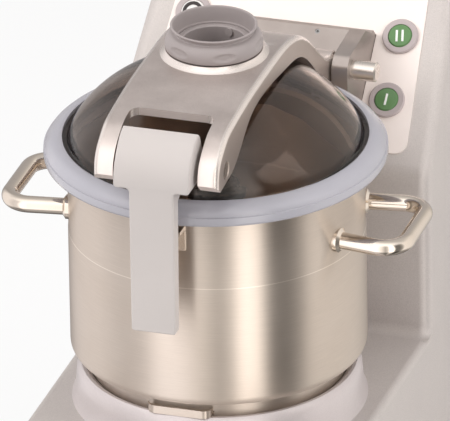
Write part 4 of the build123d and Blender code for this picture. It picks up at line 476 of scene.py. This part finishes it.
quarterTurn = 0.25  # turns brushed highlights upright
bowlCentre = tuple(bowlAxis)
finishSpecs = {
    "silverPaint": {"colours": [(199, 192, 189), (208, 201, 197)], "rough": (0.40, 0.50),
                    "metallic": 0.25, "speckle": 0.22, "patchScale": 9,
                    "grain": {"Scale": 1100, "Strength": 0.35, "Depth": 0.00025}},
    "turretCast": {"colours": [(208, 200, 200), (216, 208, 208)], "rough": (0.28, 0.40),
                   "metallic": 0.4, "speckle": 0.08,
                   "grain": {"Scale": 700, "Strength": 0.18, "Depth": 0.0002}},
    "panelEnamel": {"colours": [(248, 236, 230), (252, 241, 236)], "rough": (0.34, 0.42),
                    "grain": {"Scale": 260, "Strength": 0.05, "Depth": 0.0001}, "patchScale": 5},
    "blastedAluminium": {"colours": [(202, 191, 186), (226, 216, 211)], "rough": (0.34, 0.46),
                         "metallic": 0.8, "speckle": 0.25, "patchScale": 22,
                         "grain": {"Scale": 1500, "Strength": 0.45, "Depth": 0.00022}},
    "bracketAluminium": {"colours": [(158, 149, 144), (182, 173, 168)], "rough": (0.28, 0.42),
                         "metallic": 0.8,
                         "brush": {"Centre": (0, 0, 0), "Round": 0, "Fineness": 2600, "Length": 6,
                                   "Strength": 0.10}},
    "bowlSteel": {"colours": [(210, 199, 188), (217, 207, 197)], "rough": (0.36, 0.40), "metallic": 1,
                  "brush": {"Centre": bowlCentre, "Round": 1, "Fineness": 2400, "Length": 5,
                            "Strength": 0.16},
                  "lengthways": 0.93, "speckle": 0.10,
                  # the seam line's pale colour is a painted highlight
                  "line": {"height": 0.4446, "half": 0.0004, "colour": (236, 227, 217)}},
    "polishedSteel": {"colours": [(226, 215, 202), (234, 225, 214)], "rough": (0.05, 0.11), "metallic": 1,
                      "grain": {"Scale": 120, "Strength": 0.02, "Depth": 0.0001}},
    "pinSteel": {"colours": [(224, 217, 209), (236, 229, 222)], "rough": (0.20, 0.30), "metallic": 1,
                 "brush": {"Centre": (0, 0, 0), "Round": 0, "Fineness": 3200, "Length": 3, "Strength": 0.08}},
    "screwSteel": {"colours": [(150, 150, 150), (176, 175, 172)], "rough": (0.25, 0.40), "metallic": 1,
                   "grain": {"Scale": 1300, "Strength": 0.15, "Depth": 0.0001}},
    "bladeSteel": {"colours": [(186, 186, 188), (204, 204, 206)], "rough": (0.18, 0.28), "metallic": 1,
                   "brush": {"Centre": bowlCentre, "Round": 1, "Fineness": 1800, "Length": 8,
                             "Strength": 0.12}},
    "sealSilicone": {"colours": [(172, 171, 180), (180, 178, 186)], "rough": (0.20, 0.28),
                     "grain": {"Scale": 1600, "Strength": 0.06, "Depth": 0.0001}, "patchScale": 7,
                     "sockets": {"Specular IOR Level": 0.6, "Coat Weight": 0.6, "Coat Roughness": 0.12}},
    "knobPlastic": {"colours": [(156, 147, 146), (165, 156, 155)], "rough": (0.40, 0.50),
                    "grain": {"Scale": 1900, "Strength": 0.12, "Depth": 0.00012}, "patchScale": 12},
    "leverPlastic": {"colours": [(197, 190, 187), (202, 195, 192)], "rough": (0.30, 0.38),
                     "grain": {"Scale": 1500, "Strength": 0.08, "Depth": 0.0001}, "patchScale": 9},
    "bezelPlastic": {"colours": [(180, 168, 168), (187, 175, 175)], "rough": (0.40, 0.48),
                     "grain": {"Scale": 1700, "Strength": 0.08, "Depth": 0.0001}},
    "greenPlastic": {"colours": [(87, 127, 77), (93, 134, 83)], "rough": (0.28, 0.36),
                     "grain": {"Scale": 1700, "Strength": 0.05, "Depth": 0.0001},
                     "sockets": {"Coat Weight": 0.2, "Coat Roughness": 0.2}},
    "palePlastic": {"colours": [(238, 234, 231), (244, 241, 239)], "rough": (0.28, 0.36),
                    "grain": {"Scale": 1700, "Strength": 0.05, "Depth": 0.0001}},
    "whiteMark": {"colours": [(244, 246, 242), (250, 251, 248)], "rough": (0.40, 0.50),
                  "grain": {"Scale": 1700, "Strength": 0.04, "Depth": 0.0001}},
    "blackMark": {"colours": [(44, 38, 38), (54, 47, 47)], "rough": (0.40, 0.50),
                  "grain": {"Scale": 1700, "Strength": 0.04, "Depth": 0.0001}},
    "blackPlastic": {"colours": [(34, 33, 34), (46, 44, 45)], "rough": (0.38, 0.52),
                     "grain": {"Scale": 1500, "Strength": 0.15, "Depth": 0.00015}},
    "blackRubber": {"colours": [(26, 25, 25), (36, 34, 34)], "rough": (0.62, 0.78),
                    "grain": {"Scale": 1300, "Strength": 0.25, "Depth": 0.0002}},
    "acetal": {"colours": [(222, 218, 208), (230, 226, 217)], "rough": (0.36, 0.46),
               "grain": {"Scale": 1500, "Strength": 0.06, "Depth": 0.0001}},
    "wiperPlastic": {"colours": [(112, 104, 100), (120, 111, 107)], "rough": (0.38, 0.48),
                     "grain": {"Scale": 1500, "Strength": 0.08, "Depth": 0.0001}},
    "galvanised": {"colours": [(140, 145, 148), (172, 176, 178)], "rough": (0.35, 0.52), "metallic": 0.9,
                   "grain": {"Scale": 300, "Strength": 0.10, "Depth": 0.00015}, "patchScale": 60},
    "coverSteel": {"colours": [(178, 171, 165), (190, 184, 178)], "rough": (0.30, 0.38), "metallic": 1,
                   "brush": {"Centre": (0, 0, 0), "Round": 0, "Fineness": 2200, "Length": 4,
                             "Strength": 0.12}, "patchScale": 8},
    "laminations": {"colours": [(72, 72, 74), (92, 92, 94)], "rough": (0.40, 0.55), "metallic": 0.8,
                    "brush": {"Centre": bowlCentre, "Round": 1, "Fineness": 2200, "Length": 3,
                              "Strength": 0.3}},
    "copperWire": {"colours": [(150, 84, 48), (186, 112, 66)], "rough": (0.28, 0.40), "metallic": 0.85,
                   "brush": {"Centre": bowlCentre, "Round": 1, "Fineness": 900, "Length": 3,
                             "Strength": 0.6}},
    "bearingSteel": {"colours": [(182, 182, 186), (200, 200, 204)], "rough": (0.12, 0.22), "metallic": 1,
                     "grain": {"Scale": 700, "Strength": 0.04, "Depth": 0.0001}},
}
finishes = {name: makeFinish(name, spec) for name, spec in finishSpecs.items()}


# the smoked dome: tinted clear plastic that lets lamp light through to the bowl
smokedDome = {"tint": (192, 177, 167), "shade": (222, 214, 208), "rough": (0.02, 0.05), "ior": 1.42,
              "shine": 0.35, "patchScale": 20, "tintSpread": 4}


def makeDomeFinish(spec):
    material = bpy.data.materials.new("smokedPolycarbonate")
    material.use_nodes = True
    tree = material.node_tree
    add, link = tree.nodes.new, tree.links.new
    surface = tree.nodes["Principled BSDF"]
    surface.inputs["Transmission Weight"].default_value = 1
    surface.inputs["IOR"].default_value = spec["ior"]
    surface.inputs["Specular IOR Level"].default_value = spec["shine"]
    patches = placeGroup(material, patchGroup, {
        "Scale": spec["patchScale"], "Colour One": tone(*spec["tint"]),
        "Colour Two": tone(*(part + spec["tintSpread"] for part in spec["tint"])),
        "Rough One": spec["rough"][0], "Rough Two": spec["rough"][1]})
    link(patches.outputs["Colour"], surface.inputs["Base Color"])
    link(patches.outputs["Roughness"], surface.inputs["Roughness"])
    clear = add("ShaderNodeBsdfTransparent")
    clear.inputs[0].default_value = tone(*spec["shade"])
    path = add("ShaderNodeLightPath")
    mix = add("ShaderNodeMixShader")
    link(path.outputs["Is Shadow Ray"], mix.inputs[0])
    link(surface.outputs[0], mix.inputs[1])
    link(clear.outputs[0], mix.inputs[2])
    link(mix.outputs[0], tree.nodes["Material Output"].inputs[0])
    return material


finishes["smokedPolycarbonate"] = makeDomeFinish(smokedDome)
print("finishes made:", len(finishes))


# the lid's arm: blasted faces, with a painted highlight on faces turned to the front and painted shade on
# faces turned sideways;
# rounded edges and a polished collar round the feed, smoother and painted brighter, the brightness partly a
# painted highlight
armCasting = {"blasted": "blastedAluminium", "edgeColour": (232, 224, 219), "edgeRough": 0.27,
              "edgeStart": (0.10, 0.30), "edgeEnd": (0.90, 0.985), "collarRadius": (0.0506, 0.0534),
              "collarLow": (0.6195, 0.6215), "sideColour": (182, 170, 163), "sideStart": (0.86, 0.98),
              "frontColour": (240, 230, 225), "frontStart": (0.35, 0.80)}


def makeArmFinish(spec):
    material = finishes[spec["blasted"]].copy()
    material.name = "armCasting"
    tree = material.node_tree
    add, link = tree.nodes.new, tree.links.new
    surface = tree.nodes["Principled BSDF"]
    geometry = add("ShaderNodeNewGeometry")
    facing = add("ShaderNodeSeparateXYZ")
    link(geometry.outputs["Normal"], facing.inputs[0])
    sideways = maths(tree, "ABSOLUTE", facing.outputs["X"], 0)
    edge = maths(tree, "MULTIPLY", rise(tree, sideways, spec["edgeStart"]),
                 rise(tree, sideways, spec["edgeEnd"], (1, 0)))
    coordinate = add("ShaderNodeTexCoord")
    away = add("ShaderNodeVectorMath")
    away.operation = "SUBTRACT"
    away.inputs[1].default_value = tuple(bowlAxis)
    link(coordinate.outputs["Object"], away.inputs[0])
    place = add("ShaderNodeSeparateXYZ")
    link(away.outputs[0], place.inputs[0])
    squareX = maths(tree, "MULTIPLY", place.outputs["X"], place.outputs["X"])
    squareY = maths(tree, "MULTIPLY", place.outputs["Y"], place.outputs["Y"])
    reach = maths(tree, "SQRT", maths(tree, "ADD", squareX, squareY), 0)
    collar = maths(tree, "MULTIPLY", rise(tree, reach, spec["collarRadius"], (1, 0)),
                   rise(tree, place.outputs["Z"], spec["collarLow"]))
    # rounded edges and the feed collar: a smoother real polish, and a brighter colour that is partly a
    # painted highlight
    polishAndHighlight = maths(tree, "MAXIMUM", edge, collar)

    def blend(mask, socket, data, value):
        node = add("ShaderNodeMix")
        node.data_type = data
        link(mask, node.inputs["Factor"])
        source = surface.inputs[socket].links[0].from_socket
        first = [one for one in node.inputs if one.name == "A" and one.enabled][0]
        second = [one for one in node.inputs if one.name == "B" and one.enabled][0]
        link(source, first)
        second.default_value = value
        out = [one for one in node.outputs if one.enabled][0]
        link(out, surface.inputs[socket])

    # painted shade: faces turned sideways are darkened
    blend(rise(tree, sideways, spec["sideStart"]), "Base Color", "RGBA", tone(*spec["sideColour"]))
    # painted highlight: faces turned to the front are lightened
    forwards = maths(tree, "MULTIPLY", facing.outputs["Y"], -1)
    blend(rise(tree, forwards, spec["frontStart"]), "Base Color", "RGBA", tone(*spec["frontColour"]))
    blend(polishAndHighlight, "Base Color", "RGBA", tone(*spec["edgeColour"]))
    blend(polishAndHighlight, "Roughness", "FLOAT", spec["edgeRough"])
    return material


finishes["armCasting"] = makeArmFinish(armCasting)


nodeFinishes = {
    "silverPaint": ["housing"],
    "turretCast": ["seat_ring"],
    "panelEnamel": ["control_panel"],
    "armCasting": ["lid_arm"],
    "blastedAluminium": ["motor_flange", "motor_end_shield", "motor_frame"],
    "bracketAluminium": ["hinge_bracket"],
    "bowlSteel": ["bowl_shell", "bowl_tube", "bowl_skirt", "bowl_tab", "dome_clamp"],
    "polishedSteel": ["bowl_handles", "handle_collars", "motor_shaft"],
    "pinSteel": ["hinge_pin", "latch_pin", "latch_hook", "latch_keeper"],
    "screwSteel": ["service_screws", "seat_ring_screws", "flange_bolts", "bracket_bolts", "grub_screw",
                   "dome_screws"],
    "bladeSteel": ["blades"],
    "bearingSteel": ["bearings", "lid_magnet"],
    "laminations": ["stator_core", "rotor_core"],
    "copperWire": ["windings"],
    "galvanised": ["bottom_plate", "electrical_plate"],
    "coverSteel": ["service_cover"],
    "blackRubber": ["feet", "shaft_seal"],
    "sealSilicone": ["lid_seal", "wiper_strip"],
    "knobPlastic": ["wiper_knob", "wiper_tube", "knob_screws"],
    "leverPlastic": ["latch_lever"],
    "bezelPlastic": ["button_bezels"],
    "acetal": ["hinge_bushes", "wiper_bush"],
    "wiperPlastic": ["wiper_arm"],
    "blackPlastic": ["cable_gland", "contact_blocks", "contactors", "terminal_block", "lid_switch",
                     "cooling_fan", "blade_hub", "blade_cap"],
    "smokedPolycarbonate": ["dome"],
    "greenPlastic": ["button_one", "button_two"],
    "palePlastic": ["button_stop"],
}
finishOf = {node: finish for finish, names in nodeFinishes.items() for node in names}


def dress(piece, name):
    piece.data.materials.clear()
    piece.data.materials.append(finishes[name])


for nodeName, node in nodes.items():
    for materialSlot in node.material_slots:
        materialSlot.material = finishes[finishOf[nodeName]]
print("nodes dressed")


# a merged copy of a CAD node, shaded smooth over its curves, which takes the node's place
def refine(nodeName, spec):
    piece = bpy.data.objects.new(spec["name"], nodes[nodeName].data.copy())
    bpy.context.scene.collection.objects.link(piece)
    selectOnly(piece)
    bpy.ops.mesh.customdata_custom_splitnormals_clear()
    bpy.ops.object.mode_set(mode="EDIT")
    bpy.ops.mesh.select_all(action="SELECT")
    bpy.ops.mesh.remove_doubles(threshold=0.00001)
    bpy.ops.object.mode_set(mode="OBJECT")
    dress(piece, spec["finish"])
    bpy.ops.object.shade_smooth_by_angle(angle=math.radians(spec.get("smooth", 35)))
    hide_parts(nodeName)
    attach(piece, nodes[nodeName]["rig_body"])


refined = {
    "lid_arm": {"slot": "cast_aluminium", "name": "lidArmCasting", "finish": "armCasting"},
    "latch_lever": {"slot": "grey_plastic", "name": "latchLeverMoulding", "finish": "leverPlastic"},
    "hinge_bracket": {"slot": "cast_aluminium", "name": "hingeBracketCasting",
                      "finish": "bracketAluminium"},
    "housing": {"slot": "silver_paint", "name": "housingShell", "finish": "silverPaint"},
    "seat_ring": {"slot": "silver_paint", "name": "turretRing", "finish": "turretCast"},
    "bowl_shell": {"slot": "brushed_stainless", "name": "bowlShell", "finish": "bowlSteel"},
    "bowl_handles": {"slot": "polished_stainless", "name": "bowlHandles", "finish": "polishedSteel"},
    "lid_seal": {"slot": "seal_silicone", "name": "lidSeal", "finish": "sealSilicone", "smooth": 50},
    "dome": {"slot": "clear_plastic", "name": "smokedDome", "finish": "smokedPolycarbonate", "smooth": 40},
    "wiper_tube": {"slot": "grey_plastic", "name": "feedTube", "finish": "knobPlastic", "smooth": 40},
    "hinge_pin": {"slot": "polished_stainless", "name": "hingePin", "finish": "pinSteel"},
}
for nodeName, spec in refined.items():
    refine(nodeName, spec)
print("pieces refined:", len(refined))


# a piece turned about an upright axis, ring by ring
def turnRings(name, centre, rings, count):
    radius, height = rings[0]
    bpy.ops.object.select_all(action="DESELECT")
    bpy.ops.mesh.primitive_circle_add(vertices=count, radius=radius, location=(centre.x, centre.y, height))
    piece = bpy.context.object
    piece.name = name
    bpy.ops.object.mode_set(mode="EDIT")
    bpy.ops.mesh.select_all(action="SELECT")
    for nextRadius, nextHeight in rings[1:]:
        bpy.ops.mesh.extrude_region_move(TRANSFORM_OT_translate={"value": (0, 0, nextHeight - height)})
        share = nextRadius / radius
        bpy.ops.transform.resize(value=(share, share, 1), center_override=(centre.x, centre.y, nextHeight))
        radius, height = nextRadius, nextHeight
    bpy.ops.mesh.select_all(action="DESELECT")
    bpy.ops.mesh.select_non_manifold()
    bpy.ops.mesh.bridge_edge_loops()
    bpy.ops.mesh.select_all(action="SELECT")
    bpy.ops.mesh.normals_make_consistent(inside=False)
    bpy.ops.object.mode_set(mode="OBJECT")
    selectOnly(piece)
    bpy.ops.object.transform_apply(location=True, rotation=True, scale=True)
    return piece


# the feed knob: a flared funnel on a rounded grip with six finger dimples
feedKnob = {
    "foot": 0.6334, "top": 0.65669, "bore": 0.0362, "ledge": 0.6412, "throat": 0.0372,
    "neck": 0.0385, "neckHeight": 0.6512, "bulge": 0.0472, "bulgeHeight": 0.6375,
    "sides": 96, "roundSteps": 8, "smoothing": 2, "smoothAngle": 55,
    # rings of the foot's edge, from the bulge and the foot, and of the lip, from its radius and the top
    "footEdge": [(-0.0016, 0), (-0.0009, 0.0003), (-0.0002, 0.0012)],
    "lip": 0.0420,
    "lipEdge": [(-0.0009, -0.0022), (0, -0.0012), (-0.0004, -0.0003), (-0.0013, 0), (-0.0024, -0.0003),
                (-0.0028, -0.0011), (-0.0038, -0.0060)],
    "dimples": 6, "dimpleStart": 30, "dimpleHeight": 0.6408, "dimpleWide": 0.0120, "dimpleTall": 0.0040,
    "dimpleDepth": 0.0014, "dimpleSteps": (1.0, 0.88, 0.76, 0.64, 0.52, 0.40, 0.28),
}


def knobRings(spec):
    foot, top, neck, bulge, bore = spec["foot"], spec["top"], spec["neck"], spec["bulge"], spec["bore"]
    shoulder = spec["neckHeight"] - 0.0012 - spec["bulgeHeight"]
    rings = [(bore, foot)]
    rings += [(bulge + out, foot + up) for out, up in spec["footEdge"]]
    for step in range(spec["roundSteps"] + 1):  # the grip's rounded side, from its widest up to the neck
        turn = math.radians(90 * step / spec["roundSteps"])
        rings.append((neck + (bulge - neck) * math.cos(turn),
                      spec["bulgeHeight"] + shoulder * math.sin(turn)))
    rings += [(neck, spec["neckHeight"]), (neck + 0.0006, top - 0.0040)]
    rings += [(spec["lip"] + out, top + up) for out, up in spec["lipEdge"]]
    throat, ledge = spec["throat"], spec["ledge"]
    rings += [(throat, ledge + 0.0008), (throat - 0.0002, ledge + 0.0001), (bore + 0.0002, ledge),
              (bore, ledge - 0.0004), (bore, foot + 0.0004)]
    return rings


def addKnob(spec):
    piece = turnRings("feedKnob", bowlAxis, knobRings(spec), spec["sides"])
    smooth = piece.modifiers.new("smooth", "SUBSURF")
    smooth.levels = smooth.render_levels = spec["smoothing"]
    bpy.ops.object.modifier_apply(modifier="smooth")
    presses = [(number, share) for number in range(spec["dimples"]) for share in spec["dimpleSteps"]]
    for number, share in presses:
        turn = math.radians(spec["dimpleStart"] + number * 360 / spec["dimples"])
        outward = Vector((math.sin(turn), -math.cos(turn), 0))
        aside = Vector((math.cos(turn), math.sin(turn), 0))
        bpy.ops.object.mode_set(mode="EDIT")
        bpy.ops.mesh.select_mode(type="VERT")
        bpy.ops.mesh.select_all(action="DESELECT")
        bpy.ops.object.mode_set(mode="OBJECT")
        for vertex in piece.data.vertices:
            place = vertex.co - bowlAxis
            across = place.dot(aside) / spec["dimpleWide"]
            along = (place.z - spec["dimpleHeight"]) / spec["dimpleTall"]
            outside = math.hypot(place.x, place.y) > spec["neck"] + 0.001
            vertex.select = outside and place.dot(outward) > 0 and across ** 2 + along ** 2 < share
        bpy.ops.object.mode_set(mode="EDIT")
        bpy.ops.transform.translate(value=-outward * spec["dimpleDepth"] / len(spec["dimpleSteps"]))
        bpy.ops.object.mode_set(mode="OBJECT")
    dress(piece, "knobPlastic")
    bpy.ops.object.shade_smooth_by_angle(angle=math.radians(spec["smoothAngle"]))
    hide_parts("wiper_knob")
    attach(piece, nodes["wiper_knob"]["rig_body"])


addKnob(feedKnob)
print("feed knob turned")


# generic marks on the buttons: one stroke, two strokes and a ring, proud by a hair
slopeTilt = math.radians(44)  # the console leans back from the upright
marks = {
    "stroke": {"width": 0.0022, "length": 0.0118, "rise": 0.0003, "apart": 0.0058, "edge": 0.00024},
    "ring": {"radius": 0.0083, "width": 0.0034, "rise": 0.0003, "around": 64, "across": 12},
    "smoothAngle": 40,
    "buttons": {
        "button_one": {"strokes": 1, "turn": -2.5, "finish": "whiteMark", "slot": "pale_button"},
        "button_two": {"strokes": 2, "turn": 9, "finish": "whiteMark", "slot": "pale_button"},
        "button_stop": {"strokes": 0, "turn": 0, "finish": "blackMark", "slot": "black_plastic"},
    },
}


def faceOf(nodeName):
    node = nodes[nodeName]
    outward = Vector((0, -math.cos(slopeTilt), math.sin(slopeTilt)))
    corners = [node.matrix_world @ vertex.co for vertex in node.data.vertices]
    top = max(corner.dot(outward) for corner in corners)
    middle = middleOf(nodeName)
    return middle + outward * (top - middle.dot(outward)), outward


def addMark(nodeName, spec):
    face, outward = faceOf(nodeName)
    bpy.ops.object.select_all(action="DESELECT")
    if spec["strokes"]:
        stroke = marks["stroke"]
        for index in range(spec["strokes"]):
            aside = (index - (spec["strokes"] - 1) / 2) * stroke["apart"]
            bpy.ops.mesh.primitive_cube_add(size=1, location=(aside, 0, 0))
            bar = bpy.context.object
            bar.scale = (stroke["width"], stroke["length"], stroke["rise"] * 2)
            if index:
                first.select_set(True)
                bpy.context.view_layer.objects.active = first
                bpy.ops.object.join()
            first = bpy.context.object
        piece = first
    else:
        ring = marks["ring"]
        bpy.ops.mesh.primitive_torus_add(major_radius=ring["radius"], minor_radius=ring["width"] / 2,
                                         major_segments=ring["around"], minor_segments=ring["across"])
        piece = bpy.context.object
        piece.scale = (1, 1, 2 * ring["rise"] / ring["width"])
    piece.name = nodeName.replace("_", "") + "Mark"
    selectOnly(piece)
    bpy.ops.object.transform_apply(location=True, rotation=True, scale=True)
    if spec["strokes"]:
        soften = piece.modifiers.new("soften", "BEVEL")
        soften.width = marks["stroke"]["edge"]
        soften.segments = 2
        bpy.ops.object.modifier_apply(modifier="soften")
    tilt = Matrix.Rotation(math.radians(90) - slopeTilt, 4, "X")
    own = Matrix.Rotation(math.radians(spec["turn"]), 4, "Z")
    piece.matrix_world = Matrix.Translation(face) @ tilt @ own
    selectOnly(piece)
    bpy.ops.object.transform_apply(location=True, rotation=True, scale=True)
    dress(piece, spec["finish"])
    bpy.ops.object.shade_smooth_by_angle(angle=math.radians(marks["smoothAngle"]))
    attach(piece, nodes[nodeName]["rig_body"])


for nodeName, spec in marks["buttons"].items():
    addMark(nodeName, spec)
print("marks added")
